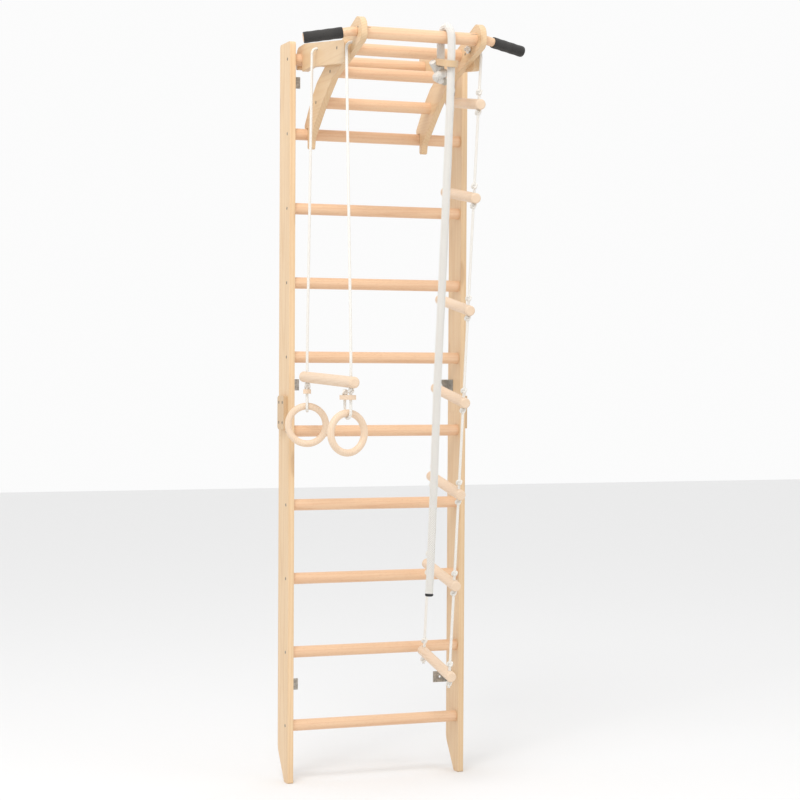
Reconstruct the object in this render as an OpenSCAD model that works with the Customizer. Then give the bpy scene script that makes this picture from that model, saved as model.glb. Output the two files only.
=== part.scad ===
// Wall bars with a hook-on pull-up frame, a trapeze with rings, a climbing rope and a rope ladder.
// Millimetres. +Z is up, the wall is the plane Y = 0, the front is -Y, and X runs along the rungs.
// The origin is on the wall, in the middle of the six wall bolts. Heights below are above the floor.

/* [Ladder] */
// Height of the uprights
ladder_h = 2200; // [2100:10:2500]
// Clear width between the uprights
ladder_w = 532; // [440:2:800]
// Thickness of an upright board
board_t = 18; // [15:1:30]
// Depth of an upright board, from front to back
board_d = 95; // [80:1:140]
// Height where the lower and the upper half of an upright meet
joint_h = 1105; // [1095:1:1130]
// Height of the lowest rung's axis
first_rung_h = 170; // [140:5:200]
// Distance from rung to rung
rung_pitch = 220; // [200:2:240]
// Diameter of a rung
rung_d = 34; // [28:1:40]
// Distance of the rung axes from the wall
rung_y = 70; // [55:1:90]
// Depth of the socket that a rung's end sits in
socket_d = 8; // [5:1:10]

/* [Splice and wall brackets] */
// Height of a splice block
splice_h = 100; // [80:2:160]
// Depth of a splice block
splice_w = 58; // [45:1:70]
// Thickness of a splice block
splice_t = 12; // [8:1:18]
// Height of a wall bracket
bracket_h = 34; // [25:1:50]
// Length of a wall bracket's leg on the wall
bracket_leg = 45; // [40:1:70]
// Thickness of a wall bracket
bracket_t = 2; // [1.5:0.5:4]
// Diameter of a bracket's wall hole
wall_hole_d = 7; // [5:0.5:9]
// Height of the middle wall brackets above the floor
bracket_mid_h = 1187; // [1175:1:1200]
// Distance from the middle wall brackets to the upper and the lower ones
bracket_reach = 905; // [900:1:920]

/* [Pull-up frame] */
// Clear width between the two arms
frame_w = 339; // [280:1:420]
// Offset of the frame's middle from the ladder's middle
frame_x = -38.5; // [-60:0.5:0]
// Thickness of an arm and of a hook plate
arm_t = 18; // [15:1:24]
// Distance of the pull-up bar in front of the rungs
bar_reach = 434; // [400:2:500]
// Diameter of the pull-up bar
bar_d = 35; // [28:1:38]
// Diameter of a handle's wooden core
core_d = 25; // [20:1:28]
// Outer diameter of a foam grip
grip_d = 31; // [28:1:40]
// Length of a foam grip
grip_l = 110; // [80:1:140]
// Straight root of a handle, from the arm to its bend
root_l = 14; // [10:1:30]

/* [Trapeze and rings] */
// Diameter of the thin ropes
cord_d = 8; // [6:1:10]
// Length of the trapeze bar
trapeze_l = 440; // [400:5:500]
// Diameter of the trapeze bar
trapeze_d = 32; // [28:1:36]
// Height of the trapeze bar at its front and back rope, on average
trapeze_h = 1205; // [1000:5:1400]
// Outer diameter of a ring
ring_d = 130; // [120:1:180]
// Diameter of a ring's section
ring_bar_d = 20; // [16:1:28]

/* [Climbing rope] */
// Diameter of the climbing rope
rope_d = 22; // [20:1:28]
// Height of the climbing rope's lower end
rope_end_h = 590; // [400:5:800]

/* [Rope ladder] */
// Length of a rope ladder rung
step_l = 286; // [260:2:330]
// Diameter of a rope ladder rung
step_d = 30; // [26:1:34]
// Distance from one rope ladder rung to the next
step_pitch = 265; // [230:5:300]
// Extra distance between the second and the third rung
step_slack = 55; // [0:5:60]

/* [Hidden] */

$fn = 48;
wood = "#ecCDA8";
beech = "#eabe96";
pale_wood = "#f0d8b8";
zinc = "#a09b91";
foam = "#3c3a38";
cord = "#f5f0e8";
cut = 1;              // how far a cutting shape runs past the face it cuts
fit = 0.05;           // radial clearance of a peg or a screw in its hole
gap = 0.3;            // gap between curved faces that touch

// Ladder
rungs = 10;
inner_x = ladder_w / 2;
outer_x = inner_x + board_t;
rung_r = rung_d / 2;
rung_l = ladder_w + 2 * socket_d;
top_rung_h = first_rung_h + (rungs - 1) * rung_pitch;
hook_rung_h = top_rung_h;
rest_rung_h = top_rung_h - rung_pitch;
board_front = -board_d;
foot_d = 32;          // depth of the foot below the skirting cut
skirting_h = 86;      // height of the skirting cut
top_round = 9;        // rounding of an upright's top corners

// Screws: shank diameter, head diameter and head height
screw_d = 5;
screw_head_d = 10;
screw_head_h = 3;
rung_screw_l = 52;
small_screw_d = 4;
small_head_d = 8;
small_head_h = 2.4;
splice_screw_l = 26;
bracket_screw_l = 15;
wall_hole_x = 23;     // distance of a bracket's wall hole from the upright
bracket_side = 40;    // length of a bracket's leg on the upright
bracket_heights = [for (i = [-1:1]) bracket_mid_h + i * bracket_reach];
splice_y = -splice_w / 2 - 23;

// Pull-up frame, seen from its side: u runs forward from the rungs, v is the height above the rest rung
left_arm_x = frame_x - frame_w / 2 - arm_t;
right_arm_x = frame_x + frame_w / 2;
bar_y = -rung_y - bar_reach;
bar_z = rest_rung_h + 236;
bar_r = bar_d / 2;
bar_l = frame_w + 2 * socket_d;
notch_gap = rung_r + gap;
cross_places = [[323, 207], [215, 157], [91, 84]];
arm_hole = [398, 213];     // rope hole in an arm
plate_hole = [155, 230];   // rope hole in a hook plate
hole_d = cord_d + 1.6;
nose = bar_reach + 42;
arm_outline = [[-20, notch_gap], [54, 102], [100, 141], [170, 176], [nose - 36, 280], [nose - 4, 262],
    [nose, 212], [354, 173], [238, 138], [149, 77], [40, -16], [34, -46], [notch_gap, -46],
    [notch_gap, notch_gap]];
arm_rounds = [8, 60, 60, 60, 26, 34, 26, 60, 60, 60, 10, 8, 8, 1];
hook_round = 38;           // outer radius of the hook over the top rung
plate_front = 385;
plate_outline = [[-hook_round, -26], [-hook_round, hook_round], [40, hook_round + 4],
    [plate_front, 0], [plate_front, -64], [90, -34], [notch_gap, -38], [notch_gap, notch_gap],
    [-notch_gap, notch_gap], [-notch_gap, -26]];
plate_rounds = [8, 30, 60, 12, 12, 30, 6, 16.9, 16.9, 8];
plate_screw_places = [[262, 190], [362, 205]];   // screws from the arms into the hook plates
arm_screw_l = 55;
plate_screw_l = 32;
bar_pin_d = 3;             // small screws that stop the bar from turning
bar_pin_head_d = 6;
bar_pin_l = 40;
bolt_d = 8;                // bolts that hold the handles
bolt_grip = 30;            // how far such a bolt runs into the bar

// Handles: each grip is bent back and down from the line of the bar
grip_bend = 17.2;
grip_roll = -30;
elbow_r = 20;
elbow_lip = 0.3;           // how far the bend stands proud of the straight stretches
elbow_lap = 2;             // how far those run into it
core_l = grip_l + 26;

// Ropes
cord_r = cord_d / 2;
rope_r = rope_d / 2;
standoff = 16;             // how far a thin rope hangs from the face that it comes out of
knot_d = 17;
knot_l = 14;
cord_sides = 8;
rope_sides = 10;

// Hanging points of the thin ropes: [x, y, z] of the top of each free length
bend_drop = standoff + cord_r + gap;     // from the middle of a rope hole down to the free length's top
left_back_top = [left_arm_x - arm_t - standoff, -rung_y - plate_hole[0], rest_rung_h + plate_hole[1] - bend_drop];
left_front_top = [left_arm_x - standoff, -rung_y - arm_hole[0], rest_rung_h + arm_hole[1] - bend_drop];
right_back_top = [right_arm_x + 2 * arm_t + standoff, left_back_top[1], left_back_top[2]];
right_front_top = [right_arm_x + arm_t + standoff, left_front_top[1], left_front_top[2]];

// Trapeze
trapeze_r = trapeze_d / 2;
trapeze_slope = 12;        // how much lower the trapeze bar's front rope hole is
trapeze_mid = [left_arm_x - 31, -rung_y - 300, trapeze_h];
trapeze_span = 374;        // distance between the bar's two rope holes
back_drop = trapeze_mid + [0, trapeze_span / 2, trapeze_slope / 2];
front_drop = trapeze_mid + [0, -trapeze_span / 2, -trapeze_slope / 2];
adjuster_l = 50;
adjuster_w = 22;
adjuster_t = 13;
adjuster_drop = 42;        // from the trapeze bar's axis down to the adjuster's middle
ring_drop = 140;           // from the trapeze bar's axis down to a ring's middle
ring_bar_r = ring_bar_d / 2;
ring_mid_r = ring_d / 2 - ring_bar_r;
loop_r = ring_bar_r + cord_r + 1;        // radius of the rope's turn round a ring's section
back_ring_turn = -20;
front_ring_turn = 13;

// Climbing rope: hand-chosen points of the free length below the bar. Each is [x, distance behind
// the front strand, height above the bar's axis]
strap_r = bar_r + rope_r + 0.5;
rope_back_x = 38;
rope_front_x = 46;
rope_plate_drop = 70;      // from the bar's axis down to the plate's middle
rope_plate_l = 104;
rope_plate_w = 46;
rope_plate_t = 18;
rope_plate_tilt = 12;
rope_knot_w = 46;
rope_knot_l = 54;
knot_drop = rope_plate_drop - strap_r * tan(rope_plate_tilt) + rope_plate_t / 2 / cos(rope_plate_tilt)
    + 0.3 * rope_knot_w * tan(rope_plate_tilt) + gap;
cap_l = 8;
rope_end_z = rope_end_h + cap_l - bar_z;
rope_points = [[46, 0, -60], [45, 1, -130], [44.5, 4, -200], [43, 8, -270], [42.5, 12, -340],
    [41, 16, -410], [40, 20, -480], [39, 25, -550], [38, 30, -620], [37, 35, -690], [35.5, 39, -760],
    [34, 43, -830], [32.5, 47, -900], [31, 51, -970], [30, 54, -1040], [29, 57, -1110], [28, 60, -1180],
    [27, 62, -1250], [25, 64, -1320], [23, 65, -1390], [20.5, 66, -1460], [18, 67, -1530]];
rope_end_x = 16;
rope_end_back = 67;        // distance of the lower end behind the front strand

// Rope ladder: both ropes run straight along hang_aim, which has a drop of 1
steps = 7;
step_r = step_d / 2;
hang_aim = [-0.0262, 0.0525, -1];
step_fall = 36;            // how much lower a rung's front rope hole is
first_step_drop = 113;     // from the back rope's top down to the first rung
front_extra = step_fall - (right_back_top[2] - right_front_top[2]);
step_reach = right_front_top + front_extra * hang_aim - right_back_top;    // from back hole to front hole
step_knot_at = step_r + 0.9 + knot_l / 2;    // from a rung's axis down to the knot that carries it
step_knot_slack = 11;      // how much further off the knot over a rung is

// Heights and places that more than one piece uses
function rung_height(n) = first_rung_h + (n - 1) * rung_pitch;
function step_drop(n) = first_step_drop + (n - 1) * step_pitch + (n > 2 ? step_slack : 0);

// Points along an outline with its corners rounded by arcs
function unit(v) = v / norm(v);
function corner_arc(p, c, n, r) =
    let (a = unit(p - c), b = unit(n - c),
        half = acos(max(-1, min(1, a * b))) / 2,
        reach = min(r / tan(half), 0.49 * min(norm(p - c), norm(n - c))),
        radius = reach * tan(half),
        mid = c + unit(a + b) * radius / sin(half),
        start = c + a * reach - mid,
        end = c + b * reach - mid,
        from = atan2(start[1], start[0]),
        turn = atan2(end[1], end[0]) - from,
        sweep = turn > 180 ? turn - 360 : (turn < -180 ? turn + 360 : turn),
        count = max(2, ceil(abs(sweep) / 12)))
    [for (i = [0:count]) mid + radius * [cos(from + sweep * i / count), sin(from + sweep * i / count)]];
function rounded(points, radii) =
    let (n = len(points))
    [for (i = [0:n - 1]) each corner_arc(points[(i + n - 1) % n], points[i], points[(i + 1) % n], radii[i])];

// A tube swept along points. radii gives its radius at each point
function tangent(path, i) = unit(path[min(i + 1, len(path) - 1)] - path[max(i - 1, 0)]);
function side_axis(t) = unit(cross(abs(t[2]) > 0.9 ? [0, 1, 0] : [0, 0, 1], t));
function carried(axis, t) = unit(axis - (axis * t) * t);
function side_axes(path, i = 0, found = []) =
    i == len(path) ? found
    : side_axes(path, i + 1, concat(found,
        [i == 0 ? side_axis(tangent(path, 0)) : carried(found[i - 1], tangent(path, i))]));

module tube(path, radii, sides) {
    axes = side_axes(path);
    rings = len(path);
    points = [for (i = [0:rings - 1]) for (j = [0:sides - 1])
        let (t = tangent(path, i), u = axes[i], v = cross(t, u), a = 360 * j / sides)
        path[i] + radii[i] * (cos(a) * u + sin(a) * v)];
    sides_faces = [for (i = [0:rings - 2]) for (j = [0:sides - 1]) each
        let (a = i * sides + j, b = i * sides + (j + 1) % sides, c = a + sides, d = b + sides)
        [[a, c, b], [b, c, d]]];
    first_cap = [for (j = [0:sides - 1]) j];
    last_cap = [for (j = [sides - 1:-1:0]) (rings - 1) * sides + j];
    polyhedron(points = points, faces = concat([first_cap, last_cap], sides_faces), convexity = 4);
}

// The same radius at every point
function even(path, r) = [for (p = path) r];

// A free length's first points and radii: a dome that lets the length swing below its fixed end
function dome_points(top, aim, r) = [top - 0.94 * r * aim, top - 0.71 * r * aim, top];
function dome_radii(r) = [0.33 * r, 0.71 * r, r];

// Countersunk screw with its head's face at the origin, running down -Z
module screw(d, head_d, head_h, l) {
    rotate_extrude() polygon([[0, 0], [head_d / 2, 0], [d / 2, -head_h], [d / 2, -l + d], [0, -l]]);
}

// The hole of such a screw, with clearance all round
module screw_hole(d, head_d, head_h, l) {
    rotate_extrude() polygon([[0, cut], [head_d / 2 + fit, cut], [head_d / 2 + fit, 0],
        [d / 2 + fit, -head_h - fit], [d / 2 + fit, -l + d], [0, -l - 2 * fit]]);
}

// A knot tied round a rope that passes through it, along Z, with its middle at the origin
module knot(r) {
    rotate_extrude() polygon([[r + fit, -knot_l / 2], [knot_d / 2 - 3, -knot_l / 2], [knot_d / 2, -knot_l / 4],
        [knot_d / 2, knot_l / 4], [knot_d / 2 - 3, knot_l / 2], [r + fit, knot_l / 2]]);
}

// A board lying in the Y-Z plane: its outline is in [forward from the rungs, height above base_h]
module side_board(points, radii, x, t, base_h) {
    translate([x, -rung_y, base_h]) rotate([90, 0, 90]) mirror([1, 0, 0])
        linear_extrude(t) polygon(rounded(points, radii));
}

// Places each child along X at a point of the frame's side view
module at_side(x, place) {
    translate([x, -rung_y - place[0], rest_rung_h + place[1]]) children();
}

// Uprights ------------------------------------------------------------------------------------

module upright_holes(side) {
    for (n = [1:rungs]) translate([side * inner_x, -rung_y, rung_height(n)]) {
        rotate([0, side * 90, 0]) translate([0, 0, -cut]) cylinder(d = rung_d + 2 * fit, h = socket_d + cut);
        translate([side * board_t, 0, 0]) rotate([0, side * 90, 0])
            screw_hole(screw_d, screw_head_d, screw_head_h, rung_screw_l);
    }
    for (place = splice_places()) translate([side * outer_x, place[0], place[1]])
        rotate([0, side * 90, 0]) translate([0, 0, splice_t])
            screw_hole(screw_d, screw_head_d, screw_head_h, splice_screw_l);
    for (h = bracket_heights) translate([side * (inner_x - bracket_t), -bracket_side / 2, h])
        rotate([0, -side * 90, 0]) screw_hole(small_screw_d, small_head_d, small_head_h, bracket_screw_l);
}

module upright_lower(side) {
    x = side > 0 ? inner_x : -outer_x;
    color(wood) difference() {
        translate([x, 0, 0]) rotate([90, 0, 90]) linear_extrude(board_t)
            polygon(rounded([[board_front, 0], [board_front + foot_d, 0], [-4, skirting_h], [0, skirting_h + 16],
                [0, joint_h], [board_front, joint_h]], [4, 10, 30, 12, 0.5, 0.5]));
        upright_holes(side);
    }
}

module upright_upper(side) {
    x = side > 0 ? inner_x : -outer_x;
    color(wood) difference() {
        translate([x, 0, 0]) rotate([90, 0, 90]) linear_extrude(board_t)
            polygon(rounded([[board_front, joint_h], [0, joint_h], [0, ladder_h], [board_front, ladder_h]],
                [0.5, 0.5, top_round, top_round]));
        upright_holes(side);
    }
}

// Splice blocks over the butt joints ------------------------------------------------------------

function splice_places() = [for (dy = [-0.28, 0.28]) for (dz = [-0.3, 0.3])
    [splice_y + dy * splice_w, joint_h + dz * splice_h]];

module splice_block(side) {
    x = side > 0 ? outer_x : -outer_x - splice_t;
    low = joint_h - splice_h / 2;
    color(wood) difference() {
        translate([x, 0, 0]) rotate([90, 0, 90]) linear_extrude(splice_t)
            polygon(rounded([[splice_y - splice_w / 2, low], [splice_y + splice_w / 2, low],
                [splice_y + splice_w / 2, low + splice_h], [splice_y - splice_w / 2, low + splice_h]],
                [3, 10, 10, 3]));
        for (place = splice_places()) translate([side * (outer_x + splice_t), place[0], place[1]])
            rotate([0, side * 90, 0]) screw_hole(screw_d, screw_head_d, screw_head_h, splice_screw_l);
    }
}

module splice_screws() {
    color(zinc) for (side = [-1, 1]) for (place = splice_places())
        translate([side * (outer_x + splice_t), place[0], place[1]])
            rotate([0, side * 90, 0]) screw(screw_d, screw_head_d, screw_head_h, splice_screw_l);
}

// Rungs -----------------------------------------------------------------------------------------

module rung(n) {
    color(beech) difference() {
        translate([-rung_l / 2, -rung_y, rung_height(n)]) rotate([0, 90, 0]) cylinder(d = rung_d, h = rung_l);
        for (side = [-1, 1]) translate([side * outer_x, -rung_y, rung_height(n)])
            rotate([0, side * 90, 0]) screw_hole(screw_d, screw_head_d, screw_head_h, rung_screw_l);
    }
}

module rung_screws() {
    color(zinc) for (side = [-1, 1]) for (n = [1:rungs]) translate([side * outer_x, -rung_y, rung_height(n)])
        rotate([0, side * 90, 0]) screw(screw_d, screw_head_d, screw_head_h, rung_screw_l);
}

// Wall brackets ---------------------------------------------------------------------------------

module wall_bracket(side, h) {
    x = side * inner_x;
    difference() {
        union() {
            translate([side > 0 ? x - bracket_leg : x, -bracket_t, h - bracket_h / 2])
                cube([bracket_leg, bracket_t, bracket_h]);
            translate([side > 0 ? x - bracket_t : x, -bracket_side, h - bracket_h / 2])
                cube([bracket_t, bracket_side, bracket_h]);
        }
        translate([x - side * wall_hole_x, cut, h]) rotate([90, 0, 0])
            cylinder(d = wall_hole_d, h = bracket_t + 2 * cut);
        translate([x - side * bracket_t, -bracket_side / 2, h]) rotate([0, -side * 90, 0])
            screw_hole(small_screw_d, small_head_d, small_head_h, bracket_screw_l);
    }
}

module wall_brackets() {
    color(zinc) for (side = [-1, 1]) for (h = bracket_heights) wall_bracket(side, h);
}

module bracket_screws() {
    color(zinc) for (side = [-1, 1]) for (h = bracket_heights)
        translate([side * (inner_x - bracket_t), -bracket_side / 2, h])
            rotate([0, -side * 90, 0]) screw(small_screw_d, small_head_d, small_head_h, bracket_screw_l);
}

// Pull-up frame ---------------------------------------------------------------------------------

// Screws into the cross rungs: the front one starts at the hook plate's outer face
function cross_screw_face(i) = i == 0 ? 2 * arm_t : arm_t;

module frame_screw_places(side) {
    inner = side > 0 ? right_arm_x : left_arm_x + arm_t;
    for (i = [0:len(cross_places) - 1]) at_side(inner + side * cross_screw_face(i), cross_places[i])
        rotate([0, side * 90, 0]) children();
}

// Screws from an arm's inner face into its hook plate
module plate_screws_at(side) {
    inner = side > 0 ? right_arm_x : left_arm_x + arm_t;
    for (place = plate_screw_places) at_side(inner, place) rotate([0, -side * 90, 0]) children();
}

module bar_screw_place(side) {
    inner = side > 0 ? right_arm_x : left_arm_x + arm_t;
    translate([inner + side * arm_t, bar_y - 11.5, bar_z + 11.5]) rotate([0, side * 90, 0]) children();
}

module handle_bolt(side, extra) {
    inner = side > 0 ? right_arm_x : left_arm_x + arm_t;
    translate([inner - side * bolt_grip, bar_y, bar_z]) rotate([0, side * 90, 0])
        cylinder(d = bolt_d + 2 * extra, h = bolt_grip + arm_t + root_l - 4 + extra);
}

module arm_cuts(side) {
    inner = side > 0 ? right_arm_x : left_arm_x + arm_t;
    for (place = cross_places) at_side(inner - side * cut, place) rotate([0, side * 90, 0])
        cylinder(d = rung_d + 2 * fit, h = socket_d + cut);
    translate([inner - side * cut, bar_y, bar_z]) rotate([0, side * 90, 0])
        cylinder(d = bar_d + 2 * fit, h = socket_d + cut);
    at_side(inner - side * cut, arm_hole) rotate([0, side * 90, 0]) cylinder(d = hole_d, h = arm_t + 2 * cut);
    frame_screw_places(side) screw_hole(screw_d, screw_head_d, screw_head_h, arm_screw_l);
    plate_screws_at(side) screw_hole(small_screw_d, small_head_d, small_head_h, plate_screw_l);
    bar_screw_place(side) screw_hole(bar_pin_d, bar_pin_head_d, small_head_h, bar_pin_l);
    handle_bolt(side, fit);
}

module arm(side) {
    color(wood) difference() {
        side_board(arm_outline, arm_rounds, side > 0 ? right_arm_x : left_arm_x, arm_t, rest_rung_h);
        arm_cuts(side);
    }
}

module hook_plate(side) {
    face = side > 0 ? right_arm_x + arm_t : left_arm_x;
    color(wood) difference() {
        side_board(plate_outline, plate_rounds, side > 0 ? face : face - arm_t, arm_t, hook_rung_h);
        frame_screw_places(side) screw_hole(screw_d, screw_head_d, screw_head_h, arm_screw_l);
        plate_screws_at(side) screw_hole(small_screw_d, small_head_d, small_head_h, plate_screw_l);
        at_side(face - side * cut, plate_hole) rotate([0, side * 90, 0])
            cylinder(d = hole_d, h = arm_t + 2 * cut);
    }
}

module cross_rung(i) {
    color(beech) difference() {
        at_side(frame_x - frame_w / 2 - socket_d, cross_places[i]) rotate([0, 90, 0])
            cylinder(d = rung_d, h = frame_w + 2 * socket_d);
        for (side = [-1, 1]) frame_screw_places(side)
            screw_hole(screw_d, screw_head_d, screw_head_h, arm_screw_l);
    }
}

module pull_up_bar() {
    color(beech) difference() {
        translate([frame_x - bar_l / 2, bar_y, bar_z]) rotate([0, 90, 0]) cylinder(d = bar_d, h = bar_l);
        for (side = [-1, 1]) {
            handle_bolt(side, fit);
            bar_screw_place(side) screw_hole(bar_pin_d, bar_pin_head_d, small_head_h, bar_pin_l);
        }
    }
}

// Places each child at an arm's outer face, with +X outwards and the handle's bend in the X-Y plane
module at_handle(side) {
    translate([side > 0 ? right_arm_x + arm_t : left_arm_x, bar_y, bar_z]) mirror([side > 0 ? 0 : 1, 0, 0])
        rotate([grip_roll, 0, 0]) children();
}

// Turns +Z to the direction of a handle's grip, with its origin at the bend's corner
module along_grip(side) {
    at_handle(side) translate([root_l, 0, 0]) rotate([0, 0, grip_bend]) rotate([0, 90, 0]) children();
}

module handle(side) {
    corner = elbow_r * tan(grip_bend / 2);
    color(beech) difference() {
        union() {
            at_handle(side) rotate([0, 90, 0])
                cylinder(d = core_d - 2 * elbow_lip, h = root_l - corner + elbow_lap);
            at_handle(side) translate([root_l - corner, elbow_r, 0]) rotate([0, 0, -90])
                rotate_extrude(angle = grip_bend) translate([elbow_r, 0]) circle(d = core_d);
            along_grip(side) translate([0, 0, corner - elbow_lap])
                cylinder(d = core_d - 2 * elbow_lip, h = core_l - corner + elbow_lap);
        }
        handle_bolt(side, fit);
    }
}

module grip(side) {
    color(foam) along_grip(side) translate([0, 0, core_l - grip_l - 1]) difference() {
        rotate_extrude() polygon(rounded([[core_d / 2 - 4, 0], [grip_d / 2, 0], [grip_d / 2, grip_l],
            [core_d / 2 - 4, grip_l]], [0.2, 2, 2, 0.2]));
        translate([0, 0, -cut]) cylinder(d = core_d - 2 * elbow_lip + 2 * fit, h = grip_l + 2 * cut);
    }
}

module frame_screws() {
    color(zinc) for (side = [-1, 1]) {
        frame_screw_places(side) screw(screw_d, screw_head_d, screw_head_h, arm_screw_l);
        plate_screws_at(side) screw(small_screw_d, small_head_d, small_head_h, plate_screw_l);
        bar_screw_place(side) screw(bar_pin_d, bar_pin_head_d, small_head_h, bar_pin_l);
    }
}

module handle_bolts() {
    color(zinc) for (side = [-1, 1]) handle_bolt(side, 0);
}

// Rope ends that stay in the frame: a knot behind each hole, and a bend out of it ----------------

hanging_tops = [[left_back_top, -1], [left_front_top, -1], [right_back_top, 1], [right_front_top, 1]];

module hanging_rope_ends() {
    color(cord) for (hang = hanging_tops) {
        side = hang[1];
        tail = standoff + arm_t + knot_l + 3;
        translate(hang[0] + [0, 0, cord_r + gap]) {
            translate([-side * standoff, 0, 0]) rotate([90, 0, side > 0 ? 0 : 180])
                rotate_extrude(angle = 90) translate([standoff, 0]) circle(r = cord_r);
            translate([-side * tail, 0, standoff]) rotate([0, side * 90, 0])
                cylinder(r = cord_r, h = tail - standoff);
        }
    }
}

module hanging_knots() {
    color(cord) for (hang = hanging_tops)
        translate(hang[0] + [-hang[1] * (standoff + arm_t + knot_l / 2), 0, bend_drop])
            rotate([0, 90, 0]) knot(cord_r);
}

// Trapeze and rings -----------------------------------------------------------------------------

// Level direction from a rope hole towards the back, across a ring that is turned by an angle
function ring_back(turn) = [-sin(turn), cos(turn), 0];

// A free length from its top through the trapeze bar and one adjuster hole, round the ring and back up
function trapeze_route(top, hole, turn) =
    let (mid = hole + loop_r * ring_back(turn) + [0, 0, ring_mid_r - ring_drop],
        up = adjuster_drop - adjuster_t / 2 - knot_l - 2)
    concat(dome_points(top, unit(hole + [0, 0, 60] - top), cord_r),
        [(top + hole + [0, 0, 60]) / 2, hole + [0, 0, 60], hole + [0, 0, 20], hole - [0, 0, 20]],
        [for (a = [0:30:180]) mid - loop_r * (cos(a) * ring_back(turn) + [0, 0, sin(a)])],
        [hole + 2 * loop_r * ring_back(turn) - [0, 0, adjuster_drop],
            hole + 2 * loop_r * ring_back(turn) - [0, 0, up]]);

module trapeze_rope(top, hole, turn) {
    route = trapeze_route(top, hole, turn);
    color(cord) tube(route, concat(dome_radii(cord_r), even([for (i = [3:len(route) - 1]) i], cord_r)), cord_sides);
}

module trapeze_bar() {
    color(pale_wood) difference() {
        translate(trapeze_mid) rotate([90 + atan(trapeze_slope / trapeze_span), 0, 0])
            translate([0, 0, -trapeze_l / 2]) rotate_extrude()
                polygon([[0, 0], [trapeze_r - 6, 0], [trapeze_r - 2, 2], [trapeze_r, 7],
                    [trapeze_r, trapeze_l - 7], [trapeze_r - 2, trapeze_l - 2], [trapeze_r - 6, trapeze_l],
                    [0, trapeze_l]]);
        for (hole = [back_drop, front_drop]) translate(hole - [0, 0, trapeze_d])
            cylinder(d = hole_d, h = 2 * trapeze_d);
    }
}

// Two knots on each rope: one under the bar, and one over the adjuster's back hole
module trapeze_knots() {
    color(cord) for (set = [[back_drop, back_ring_turn], [front_drop, front_ring_turn]]) {
        translate(set[0] - [0, 0, trapeze_r + knot_l / 2 + 0.6]) knot(cord_r);
        translate(set[0] + 2 * loop_r * ring_back(set[1])
            + [0, 0, adjuster_t / 2 + knot_l / 2 + fit - adjuster_drop]) knot(cord_r);
    }
}

module adjuster(hole, turn) {
    color(pale_wood) translate(hole + loop_r * ring_back(turn) - [0, 0, adjuster_drop]) rotate([0, 0, turn])
        difference() {
            translate([-adjuster_w / 2, -adjuster_l / 2, -adjuster_t / 2])
                cube([adjuster_w, adjuster_l, adjuster_t]);
            for (side = [-1, 1]) translate([0, side * loop_r, -adjuster_t])
                cylinder(d = cord_d + 1, h = 2 * adjuster_t);
        }
}

module ring(hole, turn) {
    color(pale_wood) translate(hole + loop_r * ring_back(turn) - [0, 0, ring_drop]) rotate([90, 0, turn])
        rotate_extrude() translate([ring_mid_r, 0]) circle(r = ring_bar_r);
}

// Climbing rope ---------------------------------------------------------------------------------

// Up the back strand, over the bar and down to the lower end
rope_front_y = bar_y - strap_r;
rope_route = concat([[rope_back_x, bar_y + strap_r, bar_z - knot_drop], [rope_back_x, bar_y + strap_r, bar_z - 30]],
    [for (a = [0:22.5:180]) [rope_back_x + (rope_front_x - rope_back_x) * a / 180,
        bar_y + strap_r * cos(a), bar_z + strap_r * sin(a)]],
    [for (p = rope_points) if (p[2] > rope_end_z + 10) [p[0], rope_front_y + p[1], bar_z + p[2]]],
    [[rope_end_x, rope_front_y + rope_end_back, bar_z + rope_end_z]]);
rope_mid_x = (rope_back_x + rope_front_x) / 2;

module climbing_rope() {
    color(cord) tube(rope_route, even(rope_route, rope_r), rope_sides);
}

module rope_plate() {
    end_r = rope_plate_w / 2;
    reach = rope_plate_l / 2 - end_r;
    color(pale_wood) difference() {
        translate([rope_mid_x, bar_y, bar_z - rope_plate_drop]) rotate([rope_plate_tilt, 0, 0])
            translate([0, 0, -rope_plate_t / 2]) linear_extrude(rope_plate_t) {
                for (side = [-1, 1]) translate([0, side * reach]) circle(r = end_r);
                translate([-end_r, -reach]) square([2 * end_r, 2 * reach]);
            }
        for (side = [-1, 1]) translate([side > 0 ? rope_back_x : rope_front_x, bar_y + side * strap_r,
            bar_z - rope_plate_drop - 40]) cylinder(d = rope_d + 1.6, h = 80);
    }
}

module rope_knot() {
    w = rope_knot_w / 2;
    color(cord) translate([rope_back_x, bar_y + strap_r, bar_z - knot_drop - rope_knot_l]) rotate_extrude()
        polygon([[0, 0], [0.6 * w, 0], [0.9 * w, 0.12 * rope_knot_l], [w, 0.35 * rope_knot_l],
            [w, 0.65 * rope_knot_l], [0.9 * w, 0.88 * rope_knot_l], [0.6 * w, rope_knot_l], [0, rope_knot_l]]);
}

module rope_end_cap() {
    color(foam) translate([rope_end_x, rope_front_y + rope_end_back, rope_end_h]) rotate_extrude()
        polygon([[0, 0], [rope_r - 3, 0], [rope_r + 1, 4], [rope_r + 1, cap_l], [0, cap_l]]);
}

// Rope ladder -----------------------------------------------------------------------------------

function ladder_rope_end() = step_drop(steps) + step_knot_at + knot_l / 2 + 6;

module ladder_rope(top, extra) {
    drops = concat([for (n = [1:steps]) step_drop(n) + extra], [ladder_rope_end() + extra]);
    route = concat(dome_points(top, unit(hang_aim), cord_r), [for (d = drops) top + d * hang_aim]);
    color(cord) tube(route, concat(dome_radii(cord_r), even(drops, cord_r)), cord_sides);
}

// Turns +Z to the direction of v
module along(v) {
    rotate([0, atan2(norm([v[0], v[1]]), v[2]), atan2(v[1], v[0])]) children();
}

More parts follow.
